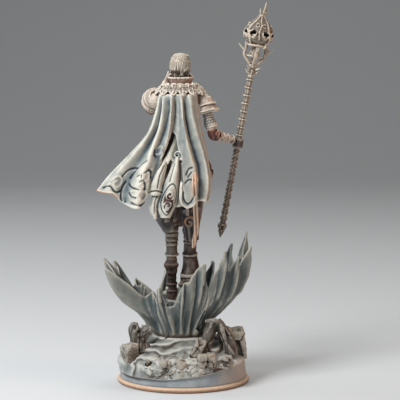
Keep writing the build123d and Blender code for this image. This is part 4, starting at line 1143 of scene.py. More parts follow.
def band(clay, centre, half_x, half_y, thick, tilt=0.0, flat=1.0, sides=36):
    """A strap or rolled edge round a limb."""
    turn = np.linspace(0, 2 * math.pi, sides)
    path = centre + np.stack([np.cos(turn) * half_x, np.sin(turn) * half_y, tilt * np.sin(turn)], axis=1)
    clay.tube(path, thick, 8, unit((path - centre) * (1, 1, 0)), flat)


def girth(node, height):
    """The middle and half sizes of a node's outline at a height."""
    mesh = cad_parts[node].data
    points = places_of(mesh) * MM
    edges = np.array([e.vertices[:] for e in mesh.edges])
    a, b = points[edges[:, 0]], points[edges[:, 1]]
    crosses = (a[:, 2] - height) * (b[:, 2] - height) < 0
    a, b = a[crosses], b[crosses]
    share = ((height - a[:, 2]) / (b[:, 2] - a[:, 2]))[:, None]
    cut = a + (b - a) * share
    low, high = cut.min(0), cut.max(0)
    return (low + high) / 2, (high[0] - low[0]) / 2, (high[1] - low[1]) / 2


def drapes(seed, depth, size, steep=0.3, ring=0.0):
    """Soft cloth folds that run mostly down, with optional bunching round the limb."""

    def carve(points, normals):
        wave = mottle(points * (1, 1, steep), size, seed)
        lift = depth * np.sin(wave * 4.5) + 0.4 * depth * mottle(points * (1, 1, 0.5), size * 0.5, seed + 1)
        if ring:
            lift = lift + ring * np.sin(points[:, 2] * 2.1 + 2.2 * mottle(points, size * 1.6, seed + 2))
        return lift + 0.05 * mottle(points, 0.7, seed + 4)

    return carve


def lames(low, high, pitch, depth, seed, scroll=0.05):
    """Overlapping plates up a limb, each flared at its lower edge, with engraved scrolls."""

    def carve(points, normals):
        climb = ((points[:, 2] - low) / pitch + 0.10 * mottle(points, 3.0, seed)) % 1.0
        plate = depth * (1 - climb) ** 1.4 - depth * 0.9 * bump(climb, 0.97, 0.07)
        inside = rise(points[:, 2], low - 0.3, low + 0.3) * rise(-points[:, 2], -high - 0.3, -high + 0.3)
        lift = plate * inside + scroll * np.sin(mottle(points, 1.3, seed + 1) * 6) * inside
        return lift * (np.abs(normals[:, 2]) < 0.9)

    return carve


def build_legs(sizes):
    for side, seed in (("left", 101), ("right", 111)):
        thigh = "thigh_" + side
        clay = Clay().node(thigh)
        crescent = curl(spot(thigh, 0.47, 0.03, 0.05), RIGHT, UP, 2.3, 1.1, 0.9)

        def gilt(points, crescent=crescent):
            return 1.2 * cord_mark(points, crescent, 0.55)

        # the cloth bags out over the knee, and the right thigh has a gilt crescent
        if side == "left":
            bag = spots(thigh, (-0.02, 0.43, 0.34), (0.03, 0.43, 0.1), (0.22, 0.5, -0.08), (0.45, 0.53, -0.21))
            clay.rope(bag, 16, (3.6, 2.5), 14)
            gilt = None
        else:
            bag = spots(thigh, (0.5, 0.42, 0.3), (0.62, 0.4, 0.0), (0.66, 0.42, -0.3))
            clay.rope(bag, 16, (3.7, 2.6), 14)
            clay.tube(crescent, np.linspace(0.5, 0.26, 22), 8, BACK)
        clay.cast("trouser_" + side, "trouser", [thigh], 0.24, 2, drapes(seed, 0.4, 3.4, 0.3), mark=gilt)

        greave, knee, boot = "greave_" + side, "knee_" + side, "boot_" + side
        low, high = corners(greave)
        clay = Clay().node(greave)
        for share in (0.06, 0.93):
            centre, half_x, half_y = girth(greave, low[2] + (high[2] - low[2]) * share)
            band(clay, centre, half_x + 0.1, half_y + 0.1, 0.36, 0.3)
        paint = "dark_plate" if side == "left" else "robe_plate"
        if side == "left":
            plates = lames(low[2] + (high[2] - low[2]) * 0.42, high[2], 1.7, 0.34, seed + 3)
        else:  # smooth cloth over the shin, with a cuff that flares out under a strap
            plates = drapes(seed + 3, 0.2, 2.6, 0.3)
            centre, half_x, half_y = girth(greave, low[2] + (high[2] - low[2]) * 0.6)
            band(clay, centre, half_x + 0.25, half_y + 0.25, 0.42, 0.5)
            turn = np.linspace(0, 2 * math.pi, 30, endpoint=False)
            rings = []
            for drop, grow in ((0.0, 0.1), (-3.0, 0.5), (-6.5, 1.1), (-9.0, 1.45), (-10.2, 1.5), (-10.5, 0.9)):
                level = 0 * turn + drop + 0.7 * np.cos(turn)
                shape = np.stack([np.cos(turn) * (half_x + grow), np.sin(turn) * (half_y + grow * 0.8), level], 1)
                rings.append(centre + (0.15 * grow, 0, 0) + shape)
            clay.loft(rings)
        clay.cast("greave_plates_" + side, paint, [greave], 0.2, 1, plates)

        low, high = corners(knee)
        middle = (low + high) / 2
        clay = Clay().node(knee)
        front = np.array((middle[0], high[1] - 0.6, middle[2]))
        clay.ball(front, (1.9, 0.9, 2.1))
        clay.rope([front + (-2.1, -0.5, 0.3), front + (0, 0.7, 0.9), front + (2.1, -0.5, 0.3)], 12, (0.3, 0.3))
        for way in (-1, 1):
            hub = np.array((middle[0] + way * (high[0] - low[0]) * 0.5, middle[1], middle[2]))
            clay.scroll(hub, (0, 1, 0), UP, 1.1, 1.2, 0.5, (0.27, 0.27), 7, RIGHT)
        plates = lames(low[2], high[2], 2.6, 0.3, seed + 5, 0.06)
        clay.cast("knee_cop_" + side, paint, [knee], 0.2, 1, plates)

        low, high = corners(boot)
        tall = high[2] - low[2]
        clay = Clay().node(boot)
        straps = (0.42, 0.28) if side == "left" else (0.6, 0.35)
        for share in straps:
            centre, half_x, half_y = girth(boot, low[2] + tall * share)
            band(clay, centre, half_x + 0.12, half_y + 0.12, 0.3, 0.35, 0.8)
            clay.ball(centre + (half_x + 0.1, -0.2, 0), (0.3, 0.5, 0.5))
        heel, half_x, half_y = girth(boot, low[2] + tall * 0.74)
        if side == "left":  # the pointed heel block and cuff that stand out behind
            block = heel + ((0.1, -half_y * 0.5, 3.4), (-0.2, -half_y - 0.5, 2.0), (0.2, -half_y * 0.6, -1.4))
            clay.tube(block, [2.0, 3.0, 1.9], 6, BACK, 0.45)
        else:
            block = heel + ((-2.0, -2.2, 1.2), (-2.4, -2.9, 0.2), (-1.6, -2.2, -1.6))
            clay.tube(block, [1.0, 1.6, 0.9], 6, BACK, 0.6)
        toe = low[2] + tall * (0.42 if side == "left" else 0.36)

        def stitched(points, normals, seed=seed, toe=toe):
            lift = 0.09 * np.sin(points[:, 2] * 2.6 + 2.0 * mottle(points, 2.4, seed + 7))
            lift = lift * rise(points[:, 2], toe, toe + 2)
            return lift + 0.08 * mottle(points, 0.8, seed + 8)

        clay.cast("boot_hide_" + side, "leather", [boot], 0.2, 1, stitched)


# ---------------------------------------------------------------- body and robes


def build_robes(sizes):
    clay = Clay().node("hips")
    clay.cast("hips_cloth", "cloth", ["hips"], 0.28, 2, drapes(131, 0.25, 2.2, 0.5))
    low, high = corners("chest")
    clay = Clay().node("chest")
    middle = (low + high) / 2
    for k in range(6):  # a laced placket and panel seams down the front
        height = low[2] + 3 + k * 2.9
        for (x, y), (to_x, to_y) in (((-1.0, -0.55), (1.0, -0.5)), ((1.0, -0.5), (-1.0, -0.55))):
            end = (middle[0] + to_x, high[1] + to_y, height + 0.9)
            clay.tube([(middle[0] + x, high[1] + y, height), end], 0.26, 6)
    clay.cast("chest_coat", "cloth", ["chest"], 0.26, 2, drapes(133, 0.2, 2.4, 0.4))

    # each skirt is drawn in to its leg, and hangs longer by so much
    for side, seed, leg, longer in (("left", 141, (-4.3, 1.0), 3.5), ("right", 143, (2.8, 1.0), 1.0)):
        node = "coat_" + side
        low, high = corners(node)

        def skirts(points, normals, low=low, high=high, seed=seed, leg=leg, longer=longer):
            drop = rise(-points[:, 2], -high[2], -low[2])
            bearing = np.degrees(np.arctan2(points[:, 1], points[:, 0] + 1.0))
            pleat = np.sin(np.radians(bearing) * 9 + 1.4 * mottle(points, 6.0, seed))
            lift = (0.2 + 0.75 * drop) * pleat + 0.16 * mottle(points * (1, 1, 0.3), 1.2, seed + 1)
            moved = points + normals * (lift * (np.abs(normals[:, 2]) < 0.8))[:, None]
            fall = drop[:, None] ** 2
            moved[:, :2] += (np.array(leg) - moved[:, :2]) * 0.36 * fall
            moved[:, 2] -= longer * fall[:, 0]
            torn = 0.9 + 0.9 * mottle(points * (1, 1, 0.1), 2.6, seed + 2)
            moved[:, 2] += rise(-points[:, 2], -low[2] - 4.5, -low[2]) * torn
            return moved

        clay = Clay().node(node)
        if side == "right":  # the curled crescent trim over the thigh
            hub = spot(node, 0.2, 0.05, 0.16)
            clay.scroll(hub, RIGHT, UP, 2.3, 1.15, 0.6, (0.42, 0.26), 8, BACK)
            clay.scroll(hub + (0.4, 0.2, -3.0), RIGHT, UP, 1.5, 1.1, 2.4, (0.36, 0.22), 8, BACK)
        clay.cast("coat_skirt_" + side, "coat", [node], 0.25, 2, skirts)

    clay = Clay().node("tabard_front")
    for x in (0.12, 0.88):
        edge = spots("tabard_front", (x, 0.28, 0.97), (x, 0.45, 0.6), (x, 0.72, 0.25), (x, 0.92, 0.03))
        clay.rope(edge, 16, (0.3, 0.3))
    for height in (0.75, 0.5, 0.26):
        hub = spot("tabard_front", 0.5, 1.05 - 0.75 * height, height)
        for way in (-1, 1):
            clay.scroll(hub + (way * 0.9, 0, 0), (way, 0, 0), UP, 0.95, 1.2, 1.0, (0.22, 0.22), 7, BACK)
    clay.cast("tabard_cloth", "cloth", ["tabard_front"], 0.22, 1, drapes(151, 0.18, 2.0, 0.2))

    clay = Clay().node("sash_end")
    for x, z, size in ((0.85, 0.05, 0.75), (0.62, 0.12, 0.6), (0.95, 0.2, 0.55)):
        knot = spot("sash_end", x, 0.5, z)
        clay.tube([knot + UP * 0.9, knot, knot - UP * 1.0 + RIGHT * 0.2], [size * 0.5, size, size * 0.3], 7)
    clay.cast("sash_knots", "sash", ["sash_end"], 0.2, 1, drapes(153, 0.2, 1.2, 0.5))

    clay = Clay().node("belt")
    low, high = corners("belt")
    for height in (0.12, 0.88):
        level = low[2] + (high[2] - low[2]) * height
        centre, half_x, half_y = girth("belt", level)
        band(clay, centre, half_x + 0.05, half_y + 0.05, 0.24)
    centre, half_x, half_y = girth("belt", (low[2] + high[2]) / 2)
    for k in range(18):
        a = k * math.pi / 9
        clay.ball(centre + (math.cos(a) * (half_x + 0.05), math.sin(a) * (half_y + 0.05), 0), 0.34, sides=8)
    clay.cast("studded_belt", "leather", ["belt"], 0.18, 1)

    for node, name in (("buckle", "belt_buckle"), ("clasp", "mantle_clasp")):
        low, high = corners(node)
        middle, half = (low + high) / 2, (high - low) / 2
        clay = Clay().node(node)
        turn = np.linspace(0, 2 * math.pi, 30)
        loop = [np.cos(turn) * half[0] * 0.85, 0 * turn + half[1] * 0.55, np.sin(turn) * half[2] * 0.85]
        clay.tube(middle + np.stack(loop, 1), 0.2, 8)
        clay.ball(middle + (0, half[1] * 0.5, 0), (half[0] * 0.35, 0.3, half[2] * 0.35), sides=10)
        clay.cast(name, "trim", [node], 0.12, 1)


# ---------------------------------------------------------------- mantle, collar and pauldrons


NECK = np.array((-1.0, 0.0, 0.0))  # the upright line through the neck


def build_mantle(sizes):
    low, high = corners("mantle")
    clay = Clay().node("mantle")
    rows = ((8.7, 6.6, low[2] + 0.9, 2.05), (6.7, 5.7, low[2] + 2.6, 1.6))  # half width, half depth, height, scale
    for half_x, half_y, height, size in rows:
        bearing, k = 112.0, 0
        while bearing < 428:  # round the back from the left front to the right front
            a = math.radians(bearing)
            out = unit((math.cos(a) / half_x, math.sin(a) / half_y, 0))
            place = NECK + (math.cos(a) * half_x, math.sin(a) * half_y, height)
            side = unit(np.cross(UP, out))
            slant = unit(out * 0.5 - UP * 0.75)
            lie = (side, unit(np.cross(side, slant)), slant)
            clay.ball(place, (size * 0.84, 0.32, size), lie, 14)
            keel = place + slant * size * 0.15 + out * 0.25 + UP * 0.2
            clay.ball(keel, (size * 0.14, 0.34, size * 0.6), lie, 8)
            arc = math.hypot(math.sin(a) * half_x, math.cos(a) * half_y)
            bearing += math.degrees(size * 1.78 / arc) * (1 + 0.06 * math.sin(k * 2.3))
            k += 1

    def worn(points, normals):
        return 0.1 * mottle(points, 0.8, 161) + 0.08 * np.sin(mottle(points, 1.1, 162) * 8)

    # painted shade under the lowest row of scales, where the mantle meets the cape
    def behind(points):
        reach = np.hypot((points[:, 0] - NECK[0]) / 8.7, points[:, 1] / 6.6)
        return (1 - rise(reach, 0.97, 1.03)) * rise(-points[:, 2], -low[2] - 1.6, -low[2] - 1.0)

    clay.cast("scaled_mantle", "scale", ["mantle"], 0.2, 1, worn, 0.6, 1.1, behind)

    clay = Clay().node("collar")
    low, high = corners("collar")
    rim_height = low[2] + (high[2] - low[2]) * 0.60
    turn = np.radians(np.linspace(124, 416, 50))
    lift = 2.0 * np.abs(np.linspace(-1, 1, 50)) ** 5
    edges = ((4.75, 4.7, rim_height + lift, 0.34), (4.35, 4.4, 0 * turn + low[2] + 0.9, 0.28))
    for half_x, half_y, height, thick in edges:
        edge = np.stack([NECK[0] + np.cos(turn) * half_x, np.sin(turn) * half_y, height], 1)
        clay.tube(edge, thick, 8, sides_out(edge, NECK))
    # the tall point of the collar's left end
    point = spots("collar", (-0.1, 0.3, 0.05), (0.0, 0.36, 0.5), (0.05, 0.42, 1.0))
    clay.rope(point, 14, (1.7, 0.26), 8, BACK, 0.45)
    clay.cast("tall_collar", "collar", ["collar"], 0.18, 1, drapes(165, 0.07, 1.6, 0.6))


def lame(clay, start, axis, out, first, last, length, half_open, point, wall=0.55):
    """One curved plate round an arm: a flared rim, drawn to a low point in the middle of its edge."""
    axis = unit(axis)
    out = unit(out - axis * (np.dot(out, axis)))
    side = np.cross(axis, out)
    turn = np.radians(np.linspace(-half_open, half_open, 49))
    s = np.linspace(0, 1, 10)[:, None]
    radius = first + (last - first) * s**0.7
    keel = point * np.maximum(np.cos(turn * 90 / half_open), 0) ** 6
    run = s * (length + keel)
    spread = radius + 0.25 * s**3
    around = np.cos(turn)[:, None] * out + np.sin(turn)[:, None] * side
    grid = start + run[..., None] * axis + spread[..., None] * around
    clay.sheet(grid, wall, around)
    clay.tube(grid[-1], 0.3, 8, around)
    clay.tube(grid[0], 0.24, 8, around)


# each shoulder: its places in the sleeve's box, the way out, the ball's shift and size, the rise and pull of the
# plates, how far round they reach, and each plate's place down the arm, radii, length and point
SHOULDERS = {
    "right": (
        (0.3, 0.63, 0.884), (1.0, -0.25, 0.1), (0.3, -0.2), (2.7, 2.7, 2.4), 0.0, 0.0, 112, 171,
        ((0.0, 2.6, 3.7, 2.3, 0.4), (0.15, 3.0, 4.25, 2.5, 0.6), (0.31, 3.1, 3.7, 0.9, 0.5)),
    ),
    "left": (
        (0.583, 0.194, 0.731), (-0.95, -0.15, 0.3), (-0.2, 0.0), (2.9, 2.6, 2.9), 1.5, -0.8, 104, 175,
        ((0.0, 2.4, 3.6, 2.3, 0.3), (0.2, 3.1, 4.1, 2.4, 0.4), (0.42, 3.2, 4.0, 1.8, 0.4)),
    ),
}


def build_pauldrons(sizes):
    for side, (place, out, shift, size, lift, pull, half_open, seed, plates) in SHOULDERS.items():
        shoulder, elbow = spot("sleeve_" + side, *place), spot("elbow_" + side, 0.5, 0.5, 0.5)
        arm = elbow - shoulder
        out = np.array(out)
        clay = Clay().ball(shoulder + unit(arm) * shift[0] + unit(out) * shift[1], size)
        shoulder = shoulder + UP * lift + unit(arm) * pull
        for share, first, last, length, point in plates:
            lame(clay, shoulder + arm * share, arm, out, first, last, length, half_open, point)
        worn = drapes(seed, 0.05, 1.4, 1)
        clay.cast("pauldron_plates_" + side, "armour", ["pauldron_" + side], 0.2, 1, worn, 0.38)


# ---------------------------------------------------------------- arms and hands


def mail(start, end, seed):
    """Rows of small rings round an arm."""
    axis = unit(end - start)
    across = unit(np.cross(axis, UP + RIGHT * 0.1))
    lift_way = np.cross(axis, across)

    def carve(points, normals):
        level = points - start
        along = level @ axis
        angle = np.arctan2(level @ across, level @ lift_way)
        row = np.floor(along / 0.95)
        ring = np.abs(np.sin(angle * 6 + row * math.pi / 2)) ** 0.7
        lift = 0.2 * np.abs(np.sin(along * math.pi / 0.95)) ** 0.8 * (0.35 + 0.65 * ring) - 0.08
        lift = lift + 0.16 * np.sin(along * 1.3 + 2 * mottle(points, 2.4, seed))
        return lift

    return carve


def fingers_round(clay, centre, axis, out, reach, size, heights, first, last):
    """Fingers that close round a shaft, each with its knuckles."""
    axis = unit(axis)
    out = unit(out - axis * np.dot(out, axis))
    side = np.cross(axis, out)
    for height in heights:
        turn = np.radians(np.linspace(first, last, 14))
        ring = reach + 0.12 * np.cos(turn * 3.2)
        path = centre + axis * height + ring[:, None] * (np.cos(turn)[:, None] * out + np.sin(turn)[:, None] * side)
        thick = size * (1 + 0.12 * np.cos(np.linspace(0, 4.5 * math.pi, 14))) * np.linspace(1.05, 0.85, 14)
        clay.tube(path, thick, 9, axis)


def build_arms(sizes):
    for side in ("right", "left"):
        sleeve, guard, bracer = "sleeve_" + side, "elbow_" + side, "bracer_" + side
        start, elbow = spot(sleeve, *SHOULDERS[side][0]), spot(guard, 0.5, 0.5, 0.5)
        clay = Clay().node(sleeve)
        clay.cast("mail_sleeve_" + side, "mail", [sleeve], 0.17, 1, mail(start, elbow, 181), 0.3)

        wrist = spot(bracer, 0.93, 0.86, 0.27) if side == "right" else spot(bracer, 0.87, 0.85, 0.84)
        fore = unit(wrist - elbow)
        out = unit(np.array((0.5, -0.8, 0.2)) if side == "right" else np.array((-0.8, -0.2, 0.6)))
        out = unit(out - fore * np.dot(out, fore))
        cross = np.cross(fore, out)
        clay = Clay().node(guard)
        clay.ball(elbow + out * 1.2, (1.5, 1.5, 1.5))
        wing = [elbow + out * 2.3 - cross * 1.6, elbow + out * 3.0, elbow + out * 2.3 + cross * 1.6]
        clay.rope(wing, 12, (0.32, 0.32))
        clay.scroll(elbow + out * 2.6, cross, fore, 1.5, 1.3, 0.4, (0.34, 0.2), 8, out)
        clay.cast("elbow_guard_" + side, "guard", [guard], 0.18, 1, drapes(185, 0.05, 1.2, 1), 0.36)

        clay = Clay().node(bracer)
        for share, size in ((0.16, 2.15), (0.42, 1.95), (0.66, 1.85), (0.92, 1.8)):
            centre = elbow + (wrist - elbow) * share
            turn = np.linspace(0, 2 * math.pi, 26)
            around = np.cos(turn)[:, None] * out + np.sin(turn)[:, None] * cross
            clay.tube(centre + around * size * 0.88, 0.3, 8, around)
        for k in range(3):
            hub = elbow + (wrist - elbow) * (0.29 + 0.25 * k) + out * 1.72
            clay.scroll(hub, cross, fore, 0.8, 1.2, k * 2.0, (0.22, 0.22), 7, out)
        clay.cast("bracer_plates_" + side, "armour", [bracer], 0.17, 1, drapes(187, 0.05, 1.2, 1), 0.34)

    grip, axis = staff_frame()
    clay = Clay().node("fist_right")
    out = unit(np.array((0.35, -0.9, 0.1)))
    fingers_round(clay, grip, axis, out, 1.65, 0.5, (-1.45, -0.5, 0.45, 1.35), -120, 95)
    fingers_round(clay, grip, axis, -out, 1.75, 0.58, (1.2,), -60, 60)

    def gripped(points, normals):
        """Draws the gauntlet in towards the shaft."""
        level = points - grip
        away = level - (level @ axis)[:, None] * axis
        return points - away * 0.14 * np.clip(np.linalg.norm(away, axis=1) / 2.0, 0, 1)[:, None]

    clay.cast("gauntlet_right", "robe_plate", ["fist_right"], 0.15, 5, gripped, 0.45)

    clay = Clay().node("hand_left")

    def knuckles(points, normals):
        return 0.06 * mottle(points, 0.7, 191) + 0.07 * np.sin(points[:, 2] * 4.2)

    clay.cast("open_hand_left", "skin", ["hand_left"], 0.16, 1, knuckles, 0.32)


# ---------------------------------------------------------------- head and hair


def build_head(sizes):
    head_points = places_of(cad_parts["head"].data) * MM
    low, high = corners("head")
    middle = low[0] + (high[0] - low[0]) * 0.5
    crown, chin = high[2], low[2] + (high[2] - low[2]) * 0.28
    tall = crown - chin

    def front(x, height):
        near = np.hypot(head_points[:, 0] - middle - x, (head_points[:, 2] - height) * 0.7)
        order = np.argsort(near)[:60]
        return head_points[order][:, 1].max()

    def face(x, share, out=0.0):
        height = chin + tall * share
        return np.array((middle + x, front(x, height) + out, height))

    clay = Clay().node("head")
    eye, brow, base, mouth = 0.48, 0.56, 0.27, 0.18
    nose = [face(0, brow, -0.25), face(0, 0.42, 0.15), face(0, 0.31, 0.62), face(0, base, 0.25)]
    clay.rope(nose, 12, (0.34, 0.52), 10)
    for way in (-1, 1):
        clay.ball(face(way * 0.42, base + 0.02, 0.12), (0.34, 0.36, 0.3), sides=10)
        arch = [face(way * 0.55, brow, -0.1), face(way * 1.5, brow + 0.025, -0.15), face(way * 2.4, brow - 0.01, -0.5)]
        clay.rope(arch, 10, (0.34, 0.22))
        clay.ball(face(way * 1.35, eye, -0.55), (0.62, 0.5, 0.42), sides=12)
        for lid in (0.03, -0.028):
            arc = [face(way * 0.8, eye, -0.25), face(way * 1.35, eye + lid, 0.0), face(way * 1.95, eye + 0.005, -0.35)]
            clay.rope(arc, 9, (0.13, 0.13), 6)
        clay.ball(face(way * 1.9, 0.36, -0.9), (0.95, 0.8, 0.75), sides=12)
        ear = np.array((middle + way * (high[0] - low[0]) * 0.475, (low[1] + high[1]) / 2 - 0.1, chin + tall * 0.42))
        clay.scroll(ear, (0, -1, 0), UP, 0.85, 0.8, 0.6, (0.32, 0.2), 7, RIGHT)
        clay.ball(ear, (0.3, 0.65, 0.95), sides=10)
    for share, size, wide in ((mouth + 0.018, 0.2, 0.95), (mouth - 0.022, 0.26, 0.8)):
        arc = [face(-wide, mouth, -0.12), face(0, share, 0.12), face(wide, mouth, -0.12)]
        clay.tube(flow(arc, 10), size * np.array([0.5, 0.7, 0.85, 0.95, 1, 1, 0.95, 0.85, 0.7, 0.5]), 8)
    clay.ball(face(0, 0.045, -0.25), (0.9, 0.7, 0.6), sides=12)
    clay.cast("calm_face", "skin", ["head"], 0.15, 1, None, 0.36)

    # short hair swept round from the crown, each lock a tapering strand laid on the skull
    low, high = corners("hair")
    centre = spot("hair", 0.5, 0.56, 0.46)
    half = (high - low) * (0.47, 0.52, 0.5)
    clay = Clay().node("hair")
    crown_way = unit((-0.25, -0.1, 1.0))
    for ring, (count, reach) in enumerate(((26, 1.0), (22, 0.72), (14, 0.45))):
        for k in range(count):
            bearing = 2 * math.pi * (k + 0.37 * ring) / count
            wobble = math.sin(k * 12.9 + ring * 4.1)
            back = -math.sin(bearing)
            end = math.radians(np.interp(back, [-1, -0.3, 0.3, 1], [26, 6, -22, -48]) + 6 * wobble)
            s = np.linspace(0.06, reach, 14)
            turn = bearing + 0.75 * (1 - s) + 0.1 * np.sin(s * 9 + k)
            tilt = math.pi / 2 - s * (math.pi / 2 - end)
            ball = np.stack([np.cos(tilt) * np.cos(turn), np.cos(tilt) * np.sin(turn), np.sin(tilt)], 1)
            ball = unit(ball + crown_way * (1 - s[:, None]) * 0.35)
            path = centre + ball * half * (1.0 + 0.025 * np.sin(s * 14 + k)[:, None] + 0.02 * ring)
            thick = np.interp(s / reach, [0, 0.3, 0.8, 1], [0.2, 0.42, 0.4, 0.12])
            clay.tube(path, thick, 7, ball)
    tuft = spot("hair", 0.82, 0.45, 0.9)
    for k in range(5):
        way = np.array((0.35 - 0.12 * k, -0.25 + 0.1 * k, 0))
        lock = [tuft - RIGHT * 1.5 + way, tuft + way * 1.4 + UP * 0.25, tuft + RIGHT * 0.5 + way - UP * 1.6]
        clay.rope(lock, 10, (0.32, 0.14), 7)

    # the hair goes darker brown towards the nape, in patches
    def nape(points):
        nape_mottle = 0.62 + 0.5 * mottle(points * (1.5, 1.5, 0.2), 0.9, 197)
        return rise(-points[:, 2], -low[2] - 5.5, -low[2] - 2.0) * nape_mottle

    def combed(points, normals):
        """Fine strands, and the whole drawn a little narrower."""
        points = points + normals * (0.09 * np.sin(mottle(points * (1.6, 1.6, 0.3), 0.8, 195) * 8))[:, None]
        points[:, 0] += (-0.7 - points[:, 0]) * 0.09
        return points

    clay.cast("swept_hair", "hair", ["hair"], 0.17, 1, combed, 0.32, 1.2, nape)


# ---------------------------------------------------------------- staff


def staff_frame():
    """The middle of the grip and the way the staff points up."""
    low, high = corners("staff_finial")
    tip = np.array(((low[0] + high[0]) / 2 + 0.1, (low[1] + high[1]) / 2, high[2]))
    grip = spot("fist_right", 0.527, 0.51, 0.457)
    tip[1] = grip[1]
    return grip, unit(tip - grip)


def build_staff(sizes):
    grip, axis = staff_frame()
    side = unit(np.cross((0, 1, 0), axis))
    deep = np.cross(axis, side)

    def on_staff(along, radius=0.0, bearing=0.0):
        along, radius, bearing = np.broadcast_arrays(*[np.asarray(x, float) for x in (along, radius, bearing)])
        way = np.cos(bearing)[..., None] * side + np.sin(bearing)[..., None] * deep
        return grip + along[..., None] * axis + radius[..., None] * way

    def reach(node):
        points = (places_of(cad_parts[node].data) * MM - grip) @ axis
        return points.min(), points.max()

    # upper shaft: bamboo-like joints, each flaring up into a ring
    low, high = reach("staff_upper_shaft")
    along = np.linspace(low, high, 230)
    joint = ((along - low) / sizes.ring_pitch / MM) % 1.0
    radius = 1.05 + 0.16 * joint + 0.4 * bump(joint, 0.91, 0.085) - 0.1 * bump(joint, 0.06, 0.05)
    clay = Clay().tube(on_staff(along), radius, 22)

    def cane(points, normals):
        line = (points - grip) @ axis
        angle = np.arctan2((points - grip) @ deep, (points - grip) @ side)
        lift = 0.05 * np.sin(angle * 7 + 0.3 * np.sin(line * 2)) + 0.05 * mottle(points, 0.6, 201)
        return lift

    clay.cast("staff_upper_cane", "staff", ["staff_upper_shaft"], 0.15, 0, cane, 0.3, 1.0)

    # lower shaft: knurled with winding scrolls, with a ring every so often
    low, high = reach("staff_lower_shaft")
    along = np.linspace(low, high, 200)
    joint = ((along - high) / sizes.ring_pitch / MM) % 1.0
    radius = np.interp(along, [low, high], [1.08, 1.0]) + 0.3 * bump(joint, 0.5, 0.07)
    clay = Clay().tube(on_staff(along), radius, 22)
    for k in range(2):
        clay.tube(on_staff(along, radius + 0.05, along * 1.05 + k * math.pi), 0.26, 7)
        clay.tube(on_staff(along, radius + 0.02, -along * 1.05 + k * math.pi), 0.2, 7)
    clay.cast("staff_lower_scrolls", "staff_dark", ["staff_lower_shaft"], 0.16, 1, cane, 0.3, 1.0)

    # ferrule: stepped cone
    low, high = reach("staff_ferrule")
    shares = [0, 0.03, 0.2, 0.24, 0.34, 0.38, 0.5, 0.54, 0.62, 0.66, 0.78, 0.82, 0.9, 1.0]
    widths = [0.12, 0.3, 0.75, 1.15, 1.2, 0.8, 0.95, 1.6, 1.65, 1.0, 1.05, 1.4, 1.45, 0.95]
    along = np.linspace(0, 1, 90)
    clay = Clay().tube(on_staff(low + along * (high - low)), np.interp(along, shares, widths), 24)
    for k in range(6):
        bearing = k * math.pi / 3
        thorn = on_staff(low + np.array([0.36, 0.45, 0.55]) * (high - low), [0.9, 1.35, 1.75], bearing)
        clay.tube(thorn, [0.16, 0.3, 0.14], 6)
    clay.cast("staff_ferrule_cone", "staff_dark", ["staff_ferrule"], 0.14, 0, cane, 0.3, 1.0)

    def climb(knots, bearing, count):
        """A smooth run up the piece, through (share of its height, distance from the staff's middle)."""
        return flow([on_staff(low + tall * share, out, bearing) for share, out in knots], count)

    def way_out(bearing):
        return unit(on_staff(0, 1, bearing) - on_staff(0, 0, bearing))

    def hoop(share, size, thick, sides, count):
        clay.tube(on_staff(low + tall * share, size, np.linspace(0, 2 * math.pi, count)), thick, sides)

    # thorned neck under the cage
    low, high = reach("staff_thorn_collar")
    tall = high - low
    clay = Clay().node("staff_thorn_collar")
    for k in range(6):
        bearing = k * math.pi / 3 + 0.3
        for foot, up, out, size in ((0.25, 0.62, 3.0, 0.42), (0.6, 1.0, 2.2, 0.34)):
            thorn = climb([(foot, 0.7), (foot + 0.02, out * 0.6), (up, out)], bearing + foot, 10)
            clay.tube(thorn, np.linspace(size, 0.1, 10), 7)
    for share in (0.2, 0.5, 0.85):
        hoop(share, 1.15, 0.3, 7, 24)
    clay.cast("thorned_neck", "staff", ["staff_thorn_collar"], 0.15, 1, cane, 0.3, 1.0)

    # cage: leafy ribs that curl out to thorns at the shoulder, round a small scrolled core
    low, high = reach("staff_cage")
    tall = high - low
    clay = Clay()
    for k in range(4):
        bearing = k * math.pi / 2 + 0.15
        way = way_out(bearing)
        rib = climb([(0.0, 0.9), (0.2, 2.3), (0.45, 3.9), (0.72, 4.0), (1.0, 3.2)], bearing, 26)
        clay.tube(rib, np.interp(np.linspace(0, 1, 26), [0, 0.3, 0.7, 1], [0.65, 0.78, 0.85, 0.75]), 8, way, 0.8)
        thorn = climb([(0.62, 3.8), (0.74, 5.2), (0.92, 7.1)], bearing, 12)
        clay.tube(thorn, np.linspace(0.85, 0.12, 12), 8, way, 0.8)
        for share, out, size, start in ((0.5, 3.6, 1.0, 2.2), (0.86, 3.8, 0.9, 4)):
            hub = on_staff(low + tall * share, out, bearing)
            clay.scroll(hub, np.cross(axis, way), axis, size, 1.15, start, (0.28, 0.16), 7, way)
        leaf = climb([(0.84, 4.8), (0.98, 5.4), (1.12, 5.2)], bearing + 0.5, 8)
        clay.tube(leaf, np.linspace(0.4, 0.1, 8), 7)
    for share, size, thick in ((0.02, 1.2, 0.4), (0.44, 3.2, 0.3), (0.93, 3.9, 0.5)):
        hoop(share, size, thick, 8, 34)
    clay.ball(on_staff(low + tall * 0.55), (1.9, 1.9, 2.9))
    clay.tube(on_staff(low + tall * np.linspace(-0.02, 1.0, 8)), 0.8, 10)
    for k in range(4):
        bearing = k * math.pi / 2 + 0.8
        hub, way = on_staff(low + tall * 0.55, 1.9, bearing), way_out(bearing)
        clay.scroll(hub, np.cross(axis, way), axis, 1.0, 1.2, k, (0.24, 0.24), 7, way)
    clay.cast("thorned_cage", "staff", ["staff_cage"], 0.17, 1, None, 0.32, 1.0)

    # bulb: a teardrop of scrolls with painted shade in the openings between them
    low, high = reach("staff_bulb")
    tall = high - low
    girths = ([0, 0.1, 0.26, 0.42, 0.58, 0.72, 0.84, 0.93, 1.0], [2.9, 4.9, 5.9, 5.85, 4.9, 3.5, 2.1, 1.2, 0.7])

